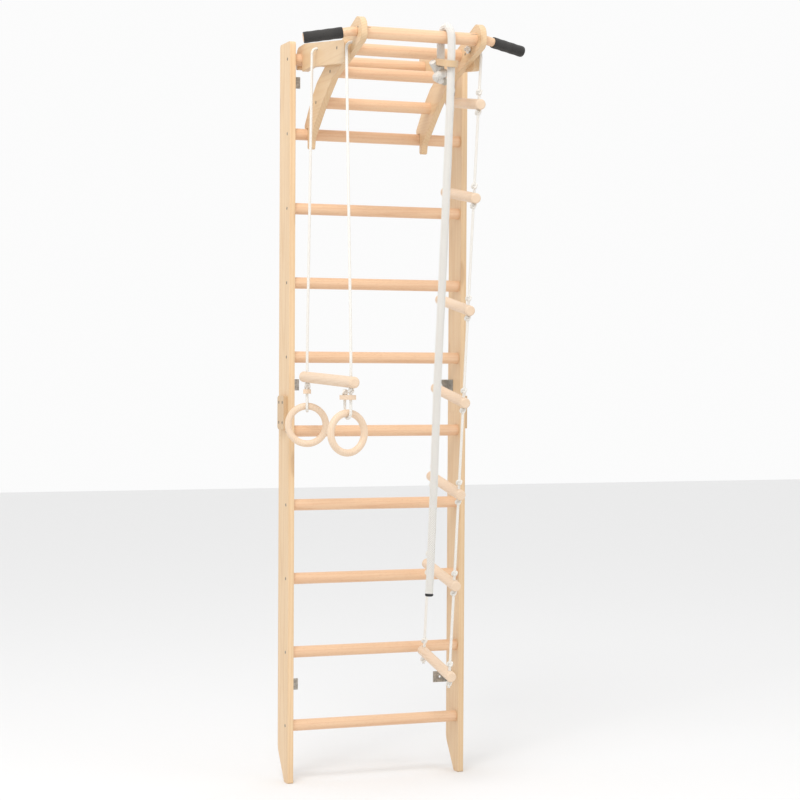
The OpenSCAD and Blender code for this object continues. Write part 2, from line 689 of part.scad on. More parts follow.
module step(n) {
    half = (step_l - norm(step_reach)) / 2;
    color(pale_wood) translate(right_back_top + step_drop(n) * hang_aim) difference() {
        along(step_reach) translate([0, 0, -half]) rotate_extrude()
            polygon([[0, 0], [step_r - 3, 0], [step_r, 3], [step_r, step_l - 3], [step_r - 3, step_l], [0, step_l]]);
        for (hole = [[0, 0, 0], step_reach]) translate(hole - step_d * hang_aim) along(hang_aim)
            cylinder(d = hole_d, h = 2 * step_d);
    }
}

// A knot over and under each rung, on both ropes
module ladder_knots() {
    color(cord) for (n = [1:steps]) for (hole = [[0, 0, 0], step_reach]) for (side = [-1, 1])
        translate(right_back_top + step_drop(n) * hang_aim + hole
            + (side * step_knot_at - (side < 0 ? step_knot_slack : 0)) * unit(hang_aim))
                along(hang_aim) knot(cord_r);
}

// Drawn nodes: the origin is moved from the floor to the middle of the wall bolts ------------------

module on_wall() {
    translate([0, 0, -bracket_mid_h]) children();
}

on_wall() upright_lower(-1);  // left_upright_lower
on_wall() upright_upper(-1);  // left_upright_upper
on_wall() upright_lower(1);  // right_upright_lower
on_wall() upright_upper(1);  // right_upright_upper
on_wall() splice_block(-1);  // left_splice_block
on_wall() splice_block(1);  // right_splice_block
on_wall() splice_screws();
for (n = [1:rungs]) on_wall() rung(n);
on_wall() rung_screws();
on_wall() wall_brackets();
on_wall() bracket_screws();
on_wall() arm(-1);  // left_arm
on_wall() arm(1);  // right_arm
on_wall() hook_plate(-1);  // left_hook_plate
on_wall() hook_plate(1);  // right_hook_plate
on_wall() cross_rung(0);  // front_cross_rung
on_wall() cross_rung(1);  // middle_cross_rung
on_wall() cross_rung(2);  // rear_cross_rung
on_wall() pull_up_bar();
on_wall() handle(-1);  // left_handle
on_wall() handle(1);  // right_handle
on_wall() grip(-1);  // left_grip
on_wall() grip(1);  // right_grip
on_wall() frame_screws();
on_wall() handle_bolts();
on_wall() hanging_knots();
on_wall() hanging_rope_ends();
on_wall() trapeze_rope(left_back_top, back_drop, back_ring_turn);  // back_trapeze_rope
on_wall() trapeze_rope(left_front_top, front_drop, front_ring_turn);  // front_trapeze_rope
on_wall() trapeze_bar();
on_wall() trapeze_knots();
on_wall() adjuster(back_drop, back_ring_turn);  // back_adjuster
on_wall() adjuster(front_drop, front_ring_turn);  // front_adjuster
on_wall() ring(back_drop, back_ring_turn);  // back_ring
on_wall() ring(front_drop, front_ring_turn);  // front_ring
on_wall() climbing_rope();
on_wall() rope_plate();
on_wall() rope_knot();
on_wall() rope_end_cap();
on_wall() ladder_rope(right_back_top, 0);  // back_ladder_rope
on_wall() ladder_rope(right_front_top, front_extra);  // front_ladder_rope
for (n = [1:steps]) on_wall() step(n);
on_wall() ladder_knots();
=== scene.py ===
"""Looks of the wall bars with their hook-on pull-up frame, trapeze, rings, climbing rope and rope ladder."""

import logging
import math
from dataclasses import dataclass, field
from enum import Enum
from typing import Callable, Optional, Sequence, Union

import bpy
import numpy as np
from mathutils import Matrix, Vector


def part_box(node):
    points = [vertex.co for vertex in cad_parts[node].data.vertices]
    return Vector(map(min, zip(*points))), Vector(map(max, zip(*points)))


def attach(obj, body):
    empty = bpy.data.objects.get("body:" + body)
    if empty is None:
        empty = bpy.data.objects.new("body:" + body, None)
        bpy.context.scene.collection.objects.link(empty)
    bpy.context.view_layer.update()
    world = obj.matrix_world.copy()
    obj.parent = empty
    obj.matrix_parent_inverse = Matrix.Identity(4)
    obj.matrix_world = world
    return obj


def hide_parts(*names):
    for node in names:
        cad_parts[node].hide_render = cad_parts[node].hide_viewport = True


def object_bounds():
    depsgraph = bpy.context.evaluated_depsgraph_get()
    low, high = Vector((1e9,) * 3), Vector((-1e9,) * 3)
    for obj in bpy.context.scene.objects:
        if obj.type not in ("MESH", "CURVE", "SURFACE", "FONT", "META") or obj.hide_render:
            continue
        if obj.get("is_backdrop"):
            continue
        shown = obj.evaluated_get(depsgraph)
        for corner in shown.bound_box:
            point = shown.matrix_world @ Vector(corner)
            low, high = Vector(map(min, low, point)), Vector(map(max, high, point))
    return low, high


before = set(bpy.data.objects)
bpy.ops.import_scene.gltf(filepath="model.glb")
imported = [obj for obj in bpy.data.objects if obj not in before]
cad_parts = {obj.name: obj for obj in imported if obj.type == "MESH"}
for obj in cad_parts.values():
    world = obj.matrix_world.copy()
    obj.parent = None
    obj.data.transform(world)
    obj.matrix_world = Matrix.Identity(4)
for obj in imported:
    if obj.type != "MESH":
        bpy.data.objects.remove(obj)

logging.basicConfig(level=logging.INFO, format="%(levelname)s %(message)s")
LOG = logging.getLogger("wall_bars")

Colour = tuple[float, float, float, float]
Point = tuple[float, float, float]
SocketOrValue = Union[bpy.types.NodeSocket, float, int, Sequence[float]]


def paint(red: int, green: int, blue: int) -> Colour:
    """Turn a display colour into the linear colour that a shader takes.

    Args:
        red: Red, from 0 to 255.
        green: Green, from 0 to 255.
        blue: Blue, from 0 to 255.

    Returns:
        The linear colour with full alpha.
    """

    def linear(value: int) -> float:
        """Linear value of one display channel."""
        share = value / 255
        return share / 12.92 if share <= 0.04045 else ((share + 0.055) / 1.055) ** 2.4

    return (linear(red), linear(green), linear(blue), 1.0)


class Grain(Enum):
    """Direction of a piece's wood grain, as the turn that brings it to the Z axis."""

    ALONG_X = (0.0, -math.pi / 2, 0.0)
    ALONG_Y = (math.pi / 2, 0.0, 0.0)
    ALONG_Z = (0.0, 0.0, 0.0)


class Braid(Enum):
    """Number of strands that run each way round a braided rope."""

    CORD = 6
    THICK = 10


# Node building ----------------------------------------------------------------------------------


class Graph:
    """Adds nodes to one node tree and joins them."""

    def __init__(self, tree: bpy.types.NodeTree) -> None:
        """Keep the tree that the nodes go in."""
        self.tree = tree

    def add(self, kind: str, inputs: Optional[dict] = None, **settings: object) -> bpy.types.Node:
        """Add a node, with its settings and its inputs.

        Args:
            kind: Blender's name for the node.
            inputs: Values or sockets by input name or number.
            **settings: Attributes of the node, set before its inputs.

        Returns:
            The new node.
        """
        node = self.tree.nodes.new(kind)
        for name, value in settings.items():
            setattr(node, name, value)
        for name, value in (inputs or {}).items():
            self.feed(node.inputs[name], value)
        return node

    def feed(self, socket: bpy.types.NodeSocket, value: SocketOrValue) -> None:
        """Join a socket to another one, or give it a value."""
        if isinstance(value, bpy.types.NodeSocket):
            self.tree.links.new(value, socket)
        else:
            socket.default_value = value

    def calc(self, operation: str, *values: SocketOrValue, clamp: bool = False) -> bpy.types.NodeSocket:
        """Result of one step of arithmetic."""
        node = self.add("ShaderNodeMath", dict(enumerate(values)), operation=operation, use_clamp=clamp)
        return node.outputs[0]

    def scale(self, vector: SocketOrValue, factors: Sequence[float]) -> bpy.types.NodeSocket:
        """Vector with each part multiplied by its own factor."""
        node = self.add("ShaderNodeVectorMath", {0: vector, 1: tuple(factors)}, operation="MULTIPLY")
        return node.outputs[0]

    def noise(
        self, vector: SocketOrValue, scale: float, detail: float = 3.0, rough: float = 0.5
    ) -> bpy.types.NodeSocket:
        """Noise value at a vector."""
        inputs = {"Vector": vector, "Scale": scale, "Detail": detail, "Roughness": rough}
        return self.add("ShaderNodeTexNoise", inputs).outputs[0]

    def fit(
        self, value: SocketOrValue, low: float, high: float, to_low: float = 0.0, to_high: float = 1.0
    ) -> bpy.types.NodeSocket:
        """Value moved smoothly from one range to another."""
        inputs = {"Value": value, "From Min": low, "From Max": high, "To Min": to_low, "To Max": to_high}
        return self.add("ShaderNodeMapRange", inputs, interpolation_type="SMOOTHSTEP").outputs[0]

    def blend(
        self, share: SocketOrValue, first: SocketOrValue, second: SocketOrValue
    ) -> bpy.types.NodeSocket:
        """Mix of two colours."""
        node = self.add("ShaderNodeMix", data_type="RGBA", blend_type="MIX", clamp_factor=True)
        for socket, value in ((node.inputs[0], share), (node.inputs[6], first), (node.inputs[7], second)):
            self.feed(socket, value)
        return node.outputs[2]

    def lump(
        self, height: bpy.types.NodeSocket, depth: float, normal: Optional[bpy.types.NodeSocket] = None
    ) -> bpy.types.NodeSocket:
        """Normal of a surface that a height raises by up to depth metres."""
        inputs: dict = {"Height": height, "Distance": depth, "Strength": 1.0}
        if normal is not None:
            inputs["Normal"] = normal
        return self.add("ShaderNodeBump", inputs).outputs[0]


@dataclass(frozen=True)
class Effect:
    """A shared shader effect: a node group that is built once.

    Attributes:
        name: Name of the node group.
        takes: Input names with their socket kinds.
        gives: Output names with their socket kinds.
        recipe: Function that makes the outputs from the graph and the inputs.
    """

    name: str
    takes: tuple[tuple[str, str], ...]
    gives: tuple[tuple[str, str], ...]
    recipe: Callable[[Graph, dict], dict]

    def tree(self) -> bpy.types.NodeTree:
        """The node group, made on the first call.

        Returns:
            The node group.
        """
        made = bpy.data.node_groups.get(self.name)
        if made is not None:
            return made
        tree = bpy.data.node_groups.new(self.name, "ShaderNodeTree")
        for name, kind in self.takes:
            tree.interface.new_socket(name, in_out="INPUT", socket_type=kind)
        for name, kind in self.gives:
            tree.interface.new_socket(name, in_out="OUTPUT", socket_type=kind)
        graph = Graph(tree)
        start = graph.add("NodeGroupInput")
        results = self.recipe(graph, {name: start.outputs[name] for name, _ in self.takes})
        graph.add("NodeGroupOutput", results)
        return tree

    def place(self, graph: Graph, **values: SocketOrValue) -> bpy.types.Node:
        """Put the effect in a material.

        Args:
            graph: The material's graph.
            **values: Inputs by name, with _ for a space.

        Returns:
            The group node.
        """
        node = graph.add("ShaderNodeGroup", node_tree=self.tree())
        for name, value in values.items():
            graph.feed(node.inputs[name.replace("_", " ")], value)
        return node


FLOAT, COLOUR, VECTOR = "NodeSocketFloat", "NodeSocketColor", "NodeSocketVector"


def timber_recipe(graph: Graph, given: dict) -> dict:
    """Growth rings, fibres, pores, flecks and small knots of a piece whose grain runs along Z.

    Args:
        graph: The group's graph.
        given: Position, colours and amounts.

    Returns:
        Colour, roughness and height sockets by name.
    """
    place = given["Position"]
    sway = graph.calc("SUBTRACT", graph.noise(graph.scale(place, (3.0, 3.0, 0.7)), 1.0, 2.0), 0.5)
    parts = graph.add("ShaderNodeSeparateXYZ", {0: place}).outputs
    across = graph.calc("ADD", parts[0], graph.calc("MULTIPLY", sway, 0.05))
    square = graph.calc("ADD", graph.calc("POWER", across, 2.0), graph.calc("POWER", parts[1], 2.0))
    reach = graph.calc("SQRT", square)
    turns = graph.calc("DIVIDE", reach, given["Ring width"])
    wave = graph.calc("MULTIPLY_ADD", graph.calc("SINE", graph.calc("MULTIPLY", turns, math.tau)), 0.5, 0.5)
    late = graph.calc("MULTIPLY", graph.calc("POWER", wave, 3.0), given["Ring strength"])
    fibre = graph.noise(graph.scale(place, (420.0, 420.0, 9.0)), 1.0, 4.0, 0.6)
    streak = graph.noise(graph.scale(place, (60.0, 60.0, 1.6)), 1.0, 3.0)
    tone = graph.noise(graph.scale(place, (5.0, 5.0, 1.1)), 1.0, 2.0)
    pores = graph.fit(graph.noise(graph.scale(place, (1100.0, 1100.0, 90.0)), 1.0, 2.0), 0.6, 0.72)
    shade = graph.calc("ADD", late, graph.calc("MULTIPLY_ADD", fibre, 0.5, -0.25))
    shade = graph.calc("ADD", shade, graph.calc("MULTIPLY_ADD", streak, 0.55, -0.2))
    shade = graph.calc("ADD", shade, graph.calc("MULTIPLY_ADD", tone, 0.5, -0.2), clamp=True)
    body = graph.blend(shade, given["Light"], given["Dark"])
    body = graph.blend(graph.calc("MULTIPLY", pores, given["Pores"]), body, given["Knot colour"])
    cells = graph.add("ShaderNodeTexVoronoi", {"Vector": graph.scale(place, (8.0, 8.0, 2.0)), "Scale": 1.0})
    core = graph.fit(cells.outputs["Distance"], 0.1, 0.05)
    halo = graph.fit(cells.outputs["Distance"], 0.22, 0.08)
    knot = graph.calc("MULTIPLY", core, given["Knots"])
    ring = graph.calc("MULTIPLY", graph.calc("MULTIPLY", halo, 0.55), given["Knots"])
    body = graph.blend(ring, body, given["Dark"])
    body = graph.blend(knot, body, given["Knot colour"])
    height = graph.calc("SUBTRACT", graph.calc("MULTIPLY", fibre, 0.5), graph.calc("MULTIPLY", pores, 0.35))
    height = graph.calc("ADD", height, graph.calc("MULTIPLY", late, -0.3))
    rough = graph.calc("MULTIPLY_ADD", streak, 0.16, 0.36)
    rough = graph.calc("ADD", rough, graph.calc("MULTIPLY", knot, -0.08))
    return {"Colour": body, "Roughness": rough, "Height": height}


def rim_recipe(graph: Graph, given: dict) -> dict:
    """Softly rounded edges, and where they are.

    Args:
        graph: The group's graph.
        given: The rounding radius.

    Returns:
        The rounded normal and an edge mask.
    """
    soft = graph.add("ShaderNodeBevel", {"Radius": given["Radius"]}, samples=4).outputs[0]
    face = graph.add("ShaderNodeNewGeometry").outputs["Normal"]
    along = graph.add("ShaderNodeVectorMath", {0: soft, 1: face}, operation="DOT_PRODUCT").outputs["Value"]
    return {"Normal": soft, "Edge": graph.fit(along, 0.99, 0.8)}


def handling_recipe(graph: Graph, given: dict) -> dict:
    """Uneven gloss and slight soiling that hands and feet leave.

    Args:
        graph: The group's graph.
        given: Position and amount.

    Returns:
        A smear mask and a grime mask.
    """
    place = given["Position"]
    smear = graph.fit(graph.noise(place, 9.0, 5.0, 0.65), 0.42, 0.7)
    grime = graph.fit(graph.noise(place, 31.0, 4.0, 0.7), 0.5, 0.82)
    masks = (("Smear", smear), ("Grime", grime))
    return {name: graph.calc("MULTIPLY", mask, given["Amount"]) for name, mask in masks}


def braid_recipe(graph: Graph, given: dict) -> dict:
    """Strands that cross over and under each other round a rope.

    Args:
        graph: The group's graph.
        given: The unrolled position and the number of strands.

    Returns:
        The height of the strands and the yarn in them, and a mask of the crevices.
    """
    parts = graph.add("ShaderNodeSeparateXYZ", {0: given["Unrolled"]}).outputs
    round_it = graph.calc("MULTIPLY", parts[0], given["Strands"])
    along_it = graph.calc("MULTIPLY", parts[1], given["Strands"])
    heights, counts = [], []
    for step in ("ADD", "SUBTRACT"):
        lane = graph.calc(step, round_it, along_it)
        off = graph.calc("MULTIPLY_ADD", graph.calc("FRACT", lane), 2.0, -1.0)
        heights.append(graph.calc("SUBTRACT", 1.0, graph.calc("POWER", graph.calc("ABSOLUTE", off), 2.4)))
        counts.append(graph.calc("FLOOR", lane))
    over = graph.calc("PINGPONG", graph.calc("ADD", counts[0], counts[1]), 1.0)
    first = graph.calc("MULTIPLY", heights[0], over)
    second = graph.calc("MULTIPLY", heights[1], graph.calc("SUBTRACT", 1.0, over))
    top = graph.calc("ADD", first, second)
    low = graph.calc("MULTIPLY", graph.calc("MINIMUM", heights[0], heights[1]), 0.5)
    shape = graph.calc("MAXIMUM", top, low)
    yarn = graph.noise(graph.scale(given["Unrolled"], (90.0, 90.0, 1.0)), 1.0, 3.0, 0.7)
    height = graph.calc("ADD", shape, graph.calc("MULTIPLY", yarn, 0.22))
    return {"Height": height, "Crevice": graph.fit(shape, 0.55, 0.05), "Yarn": yarn}


def cell_recipe(graph: Graph, given: dict) -> dict:
    """Fine closed cells of foam, with a few open ones.

    Args:
        graph: The group's graph.
        given: Position and cell size.

    Returns:
        Height and a mask of the open cells.
    """
    finer = graph.calc("DIVIDE", 1.0, given["Cell"])
    place = graph.add("ShaderNodeVectorMath", {0: given["Position"], 3: finer}, operation="SCALE").outputs[0]
    cells = graph.add("ShaderNodeTexVoronoi", {"Vector": place, "Scale": 1.0}).outputs["Distance"]
    grain = graph.noise(place, 0.6, 4.0, 0.7)
    height = graph.calc("ADD", graph.calc("MULTIPLY", cells, -0.6), grain)
    return {"Height": height, "Open": graph.fit(grain, 0.56, 0.7)}


def plating_recipe(graph: Graph, given: dict) -> dict:
    """Cloudy zinc plating with fine scratches.

    Args:
        graph: The group's graph.
        given: Position.

    Returns:
        A cloud mask and a scratch mask.
    """
    place = given["Position"]
    cloud = graph.fit(graph.noise(place, 160.0, 5.0, 0.7), 0.35, 0.65)
    scratch = graph.fit(graph.noise(graph.scale(place, (300.0, 2400.0, 300.0)), 1.0, 2.0), 0.58, 0.7)
    return {"Cloud": cloud, "Scratch": scratch}


TIMBER = Effect(
    "Timber",
    (("Position", VECTOR), ("Light", COLOUR), ("Dark", COLOUR), ("Knot colour", COLOUR),
     ("Ring width", FLOAT), ("Ring strength", FLOAT), ("Pores", FLOAT), ("Knots", FLOAT)),
    (("Colour", COLOUR), ("Roughness", FLOAT), ("Height", FLOAT)),
    timber_recipe,
)
RIM = Effect("Rounded rim", (("Radius", FLOAT),), (("Normal", VECTOR), ("Edge", FLOAT)), rim_recipe)
HANDLING = Effect(
    "Handling",
    (("Position", VECTOR), ("Amount", FLOAT)),
    (("Smear", FLOAT), ("Grime", FLOAT)),
    handling_recipe,
)
BRAIDING = Effect(
    "Braiding",
    (("Unrolled", VECTOR), ("Strands", FLOAT)),
    (("Height", FLOAT), ("Crevice", FLOAT), ("Yarn", FLOAT)),
    braid_recipe,
)
CELLS = Effect(
    "Foam cells",
    (("Position", VECTOR), ("Cell", FLOAT)),
    (("Height", FLOAT), ("Open", FLOAT)),
    cell_recipe,
)
PLATING = Effect(
    "Zinc plating",
    (("Position", VECTOR),),
    (("Cloud", FLOAT), ("Scratch", FLOAT)),
    plating_recipe,
)


# Finishes ---------------------------------------------------------------------------------------


@dataclass(frozen=True)
class Finish:
    """A finish: a material with one Principled shader that its own nodes feed.

    Attributes:
        name: Name of the material.
    """

    name: str

    def dress(self, graph: Graph, shader: bpy.types.Node) -> None:
        """Feed the shader: each finish has its own way."""
        raise NotImplementedError

    def material(self) -> bpy.types.Material:
        """The material, made on the first call.

        Returns:
            The material.
        """
        made = bpy.data.materials.get(self.name)
        if made is not None:
            return made
        material = bpy.data.materials.new(self.name)
        material.use_nodes = True
        material.node_tree.nodes.clear()
        graph = Graph(material.node_tree)
        shader = graph.add("ShaderNodeBsdfPrincipled")
        graph.add("ShaderNodeOutputMaterial", {"Surface": shader.outputs[0]})
        self.dress(graph, shader)
        return material


@dataclass(frozen=True)
class Wood(Finish):
    """Varnished wood.

    Attributes:
        light: Colour of the early wood.
        dark: Colour of the late wood and the streaks.
        mark: Colour of knots and pores.
        grain: Direction of the grain.
        seed: Number that gives each piece its own stretch of timber.
        heart: A point on the tree's middle line, in metres.
        ring_width: Width of a growth ring in metres.
        ring_strength: How far late wood shows, from 0 to 1.
        pores: How far pores and flecks show.
        knots: How far knots show.
        edge: Rounding of the edges in metres.
    """

    light: Colour = paint(232, 202, 163)
    dark: Colour = paint(210, 170, 124)
    mark: Colour = paint(158, 110, 70)
    grain: Grain = Grain.ALONG_Z
    seed: int = 0
    heart: Point = (0.0, 0.0, 0.0)
    ring_width: float = 0.0055
    ring_strength: float = 0.5
    pores: float = 0.12
    knots: float = 0.0
    edge: float = 0.0018

    def dress(self, graph: Graph, shader: bpy.types.Node) -> None:
        """Grain, rounded edges and handling marks under a thin varnish."""
        place = graph.add("ShaderNodeTexCoord").outputs["Object"]
        own = graph.add("ShaderNodeVectorMath", {0: place, 1: self.heart}, operation="SUBTRACT").outputs[0]
        lean = [angle + math.radians(0.5 + 0.2 * (self.seed % 4)) for angle in self.grain.value]
        stretch = (0.0, 0.0, 0.37 * self.seed)
        turned = graph.add("ShaderNodeMapping", {"Vector": own, "Rotation": lean, "Location": stretch})
        timber = TIMBER.place(
            graph, Position=turned.outputs[0], Light=self.light, Dark=self.dark, Knot_colour=self.mark,
            Ring_width=self.ring_width, Ring_strength=self.ring_strength, Pores=self.pores, Knots=self.knots,
        )
        rim = RIM.place(graph, Radius=self.edge)
        marks = HANDLING.place(graph, Position=place, Amount=0.5)
        wear = graph.calc("MULTIPLY", rim.outputs["Edge"], 0.35)
        worn = graph.blend(wear, timber.outputs["Colour"], self.light)
        soiled = graph.blend(graph.calc("MULTIPLY", marks.outputs["Grime"], 0.2), worn, self.dark)
        smeared = graph.calc("MULTIPLY", marks.outputs["Smear"], 0.16)
        rough = graph.calc("ADD", timber.outputs["Roughness"], smeared)
        graph.feed(shader.inputs["Base Color"], soiled)
        graph.feed(shader.inputs["Roughness"], rough)
        fibres = graph.lump(timber.outputs["Height"], 0.00012, rim.outputs["Normal"])
        graph.feed(shader.inputs["Normal"], fibres)
        shader.inputs["Coat Weight"].default_value = 0.12
        shader.inputs["Coat Roughness"].default_value = 0.3
        shader.inputs["Specular IOR Level"].default_value = 0.4


@dataclass(frozen=True)
class Rope(Finish):
    """Soft braided rope, coloured along its unrolled surface.

    Attributes:
        yarn: Colour of the yarn.
        shadow: Colour between the strands.
        braid: Strands that run each way.
        depth: Height of a strand in metres.
    """

    yarn: Colour = paint(252, 249, 243)
    shadow: Colour = paint(206, 198, 184)
    braid: Braid = Braid.CORD
    depth: float = 0.0006

    def dress(self, graph: Graph, shader: bpy.types.Node) -> None:
        """Crossing strands with fine yarn and darker crevices."""
        unrolled = graph.add("ShaderNodeUVMap", uv_map="unrolled").outputs[0]
        braid = BRAIDING.place(graph, Unrolled=unrolled, Strands=float(self.braid.value))
        soft = graph.blend(graph.calc("MULTIPLY", braid.outputs["Yarn"], 0.25), self.yarn, self.shadow)
        creased = graph.blend(graph.calc("MULTIPLY", braid.outputs["Crevice"], 0.9), soft, self.shadow)
        graph.feed(shader.inputs["Base Color"], creased)
        graph.feed(shader.inputs["Roughness"], graph.fit(braid.outputs["Yarn"], 0.2, 0.8, 0.75, 0.95))
        graph.feed(shader.inputs["Normal"], graph.lump(braid.outputs["Height"], self.depth))
        shader.inputs["Sheen Weight"].default_value = 0.25
        shader.inputs["Sheen Roughness"].default_value = 0.5


@dataclass(frozen=True)
class Foam(Finish):
    """Dark closed-cell foam.

    Attributes:
        body: Colour of the foam.
        open_cell_shade: Darker colour inside the open cells, painted shade in their pits.
        dust: Colour of the dust on it.
    """

    body: Colour = paint(46, 44, 43)
    open_cell_shade: Colour = paint(28, 27, 27)
    dust: Colour = paint(120, 116, 110)

    def dress(self, graph: Graph, shader: bpy.types.Node) -> None:
        """Fine pitted cells with soft smears of dust."""
        place = graph.add("ShaderNodeTexCoord").outputs["Object"]
        cells = CELLS.place(graph, Position=place, Cell=0.0011)
        marks = HANDLING.place(graph, Position=place, Amount=0.6)
        dusty = graph.blend(graph.calc("MULTIPLY", marks.outputs["Smear"], 0.12), self.body, self.dust)
        # Open cells take the darker colour: painted shade in the pits.
        graph.feed(shader.inputs["Base Color"], graph.blend(cells.outputs["Open"], dusty, self.open_cell_shade))
        graph.feed(shader.inputs["Roughness"], graph.fit(cells.outputs["Height"], 0.0, 1.0, 0.92, 0.72))
        graph.feed(shader.inputs["Normal"], graph.lump(cells.outputs["Height"], 0.0004))
        shader.inputs["Sheen Weight"].default_value = 0.15


@dataclass(frozen=True)
class Rubber(Finish):
    """Satin black shrink tube.

    Attributes:
        body: Colour of the tube.
        dust: Colour of the dust on it.
    """

    body: Colour = paint(28, 28, 29)
    dust: Colour = paint(70, 68, 66)

    def dress(self, graph: Graph, shader: bpy.types.Node) -> None:
        """Slightly rippled skin with uneven gloss."""
        place = graph.add("ShaderNodeTexCoord").outputs["Object"]
        marks = HANDLING.place(graph, Position=place, Amount=1.0)
        dusty = graph.blend(graph.calc("MULTIPLY", marks.outputs["Grime"], 0.2), self.body, self.dust)
        graph.feed(shader.inputs["Base Color"], dusty)
        graph.feed(shader.inputs["Roughness"], graph.fit(marks.outputs["Smear"], 0.0, 1.0, 0.38, 0.6))
        graph.feed(shader.inputs["Normal"], graph.lump(graph.noise(place, 240.0, 3.0), 0.0003))


@dataclass(frozen=True)
class Zinc(Finish):
    """Zinc-plated steel.

    Attributes:
        bright: Colour of the clear plating.
        dull: Colour of the cloudy plating.
        edge: Rounding of the edges in metres.
        gloss: Roughness of the clear and of the cloudy plating.
    """

    bright: Colour = paint(172, 167, 159)
    dull: Colour = paint(138, 133, 126)
    edge: float = 0.0006
    gloss: tuple[float, float] = (0.42, 0.56)

    def dress(self, graph: Graph, shader: bpy.types.Node) -> None:
        """Clouds, scratches and bright worn edges."""
        place = graph.add("ShaderNodeTexCoord").outputs["Object"]
        plate = PLATING.place(graph, Position=place)
        rim = RIM.place(graph, Radius=self.edge)
        tone = graph.blend(plate.outputs["Cloud"], self.bright, self.dull)
        worn = graph.blend(graph.calc("MULTIPLY", rim.outputs["Edge"], 0.6), tone, self.bright)
        graph.feed(shader.inputs["Base Color"], worn)
        rough = graph.fit(plate.outputs["Cloud"], 0.0, 1.0, *self.gloss)
        scratched = graph.calc("MULTIPLY", plate.outputs["Scratch"], 0.1)
        graph.feed(shader.inputs["Roughness"], graph.calc("ADD", rough, scratched))
        scored = graph.lump(plate.outputs["Scratch"], 0.00004, rim.outputs["Normal"])
        graph.feed(shader.inputs["Normal"], scored)
        shader.inputs["Metallic"].default_value = 0.6


ZINC = Zinc("Zinc plate", bright=paint(190, 187, 180), dull=paint(158, 154, 147))
# The screws' zinc is coloured darker than the brackets': painted shade of the recesses round the screw heads.
SHADED_SCREW_STEEL = Zinc("Shaded screw steel", bright=paint(158, 148, 134), dull=paint(112, 103, 92), gloss=(0.34, 0.5))
CORD = Rope("Thin cord")
THICK_ROPE = Rope("Thick rope", shadow=paint(176, 166, 150), braid=Braid.THICK, depth=0.0016)
FOAM = Foam("Grip foam")
RUBBER = Rubber("Rope end rubber")


def heart_of(node: str, aside: Point) -> Point:
    """Point on the tree's middle line, for a CAD node.

    Args:
        node: The node.
        aside: How far the line lies from the node's middle.

    Returns:
        The point.
    """
    return tuple(centre(node) + Vector(aside))


def board(node: str, seed: int, grain: Grain = Grain.ALONG_Z, colour_scale: float = 1.0) -> Wood:
    """Flat-sawn pine of an upright, arm, plate or block.

    Args:
        node: The CAD node.
        seed: Which stretch of timber.
        grain: Direction of the grain.
        colour_scale: Factor on the pale colour, 1 to keep it and less to darken it; on the right uprights and
            the rope plate this darkening is painted shade.

    Returns:
        The finish.
    """
    tone = tuple(c * colour_scale for c in paint(232, 202, 163)[:3]) + (1.0,)
    return Wood(
        f"Pine of {node}", light=tone, grain=grain, seed=seed, knots=0.3, ring_width=0.007, ring_strength=0.3,
        heart=heart_of(node, (0.055, 0.012, 0.0)),
    )


def turned_beech(node: str, seed: int, grain: Grain, heart: Optional[Point] = None) -> Wood:
    """Beech of a rung, the bar or a handle.

    Args:
        node: The CAD node.
        seed: Which stretch of timber.
        grain: Direction of the grain.
        heart: A point on the tree's middle line, or None for one beside the node.

    Returns:
        The finish.
    """
    return Wood(
        f"Beech of {node}", light=paint(234, 198, 162), dark=paint(212, 160, 122),
        mark=paint(168, 116, 80), grain=grain, seed=seed, ring_width=0.004, ring_strength=0.25,
        pores=0.35, edge=0.0012,
        heart=heart or heart_of(node, (0.012, 0.02, 0.014)),
    )


def turned_birch(node: str, seed: int, grain: Grain) -> Wood:
    """Pale birch of the rope ladder, the trapeze and its rings.

    Args:
        node: The CAD node.
        seed: Which stretch of timber.
        grain: Direction of the grain.

    Returns:
        The finish.
    """
    return Wood(
        f"Birch of {node}", light=paint(234, 210, 184), dark=paint(214, 182, 150),
        mark=paint(170, 128, 94), grain=grain, seed=seed, ring_width=0.005, ring_strength=0.25,
        pores=0.25, edge=0.0012,
        heart=heart_of(node, (0.014, 0.02, 0.018)),
    )


# Mesh making ------------------------------------------------------------------------------------


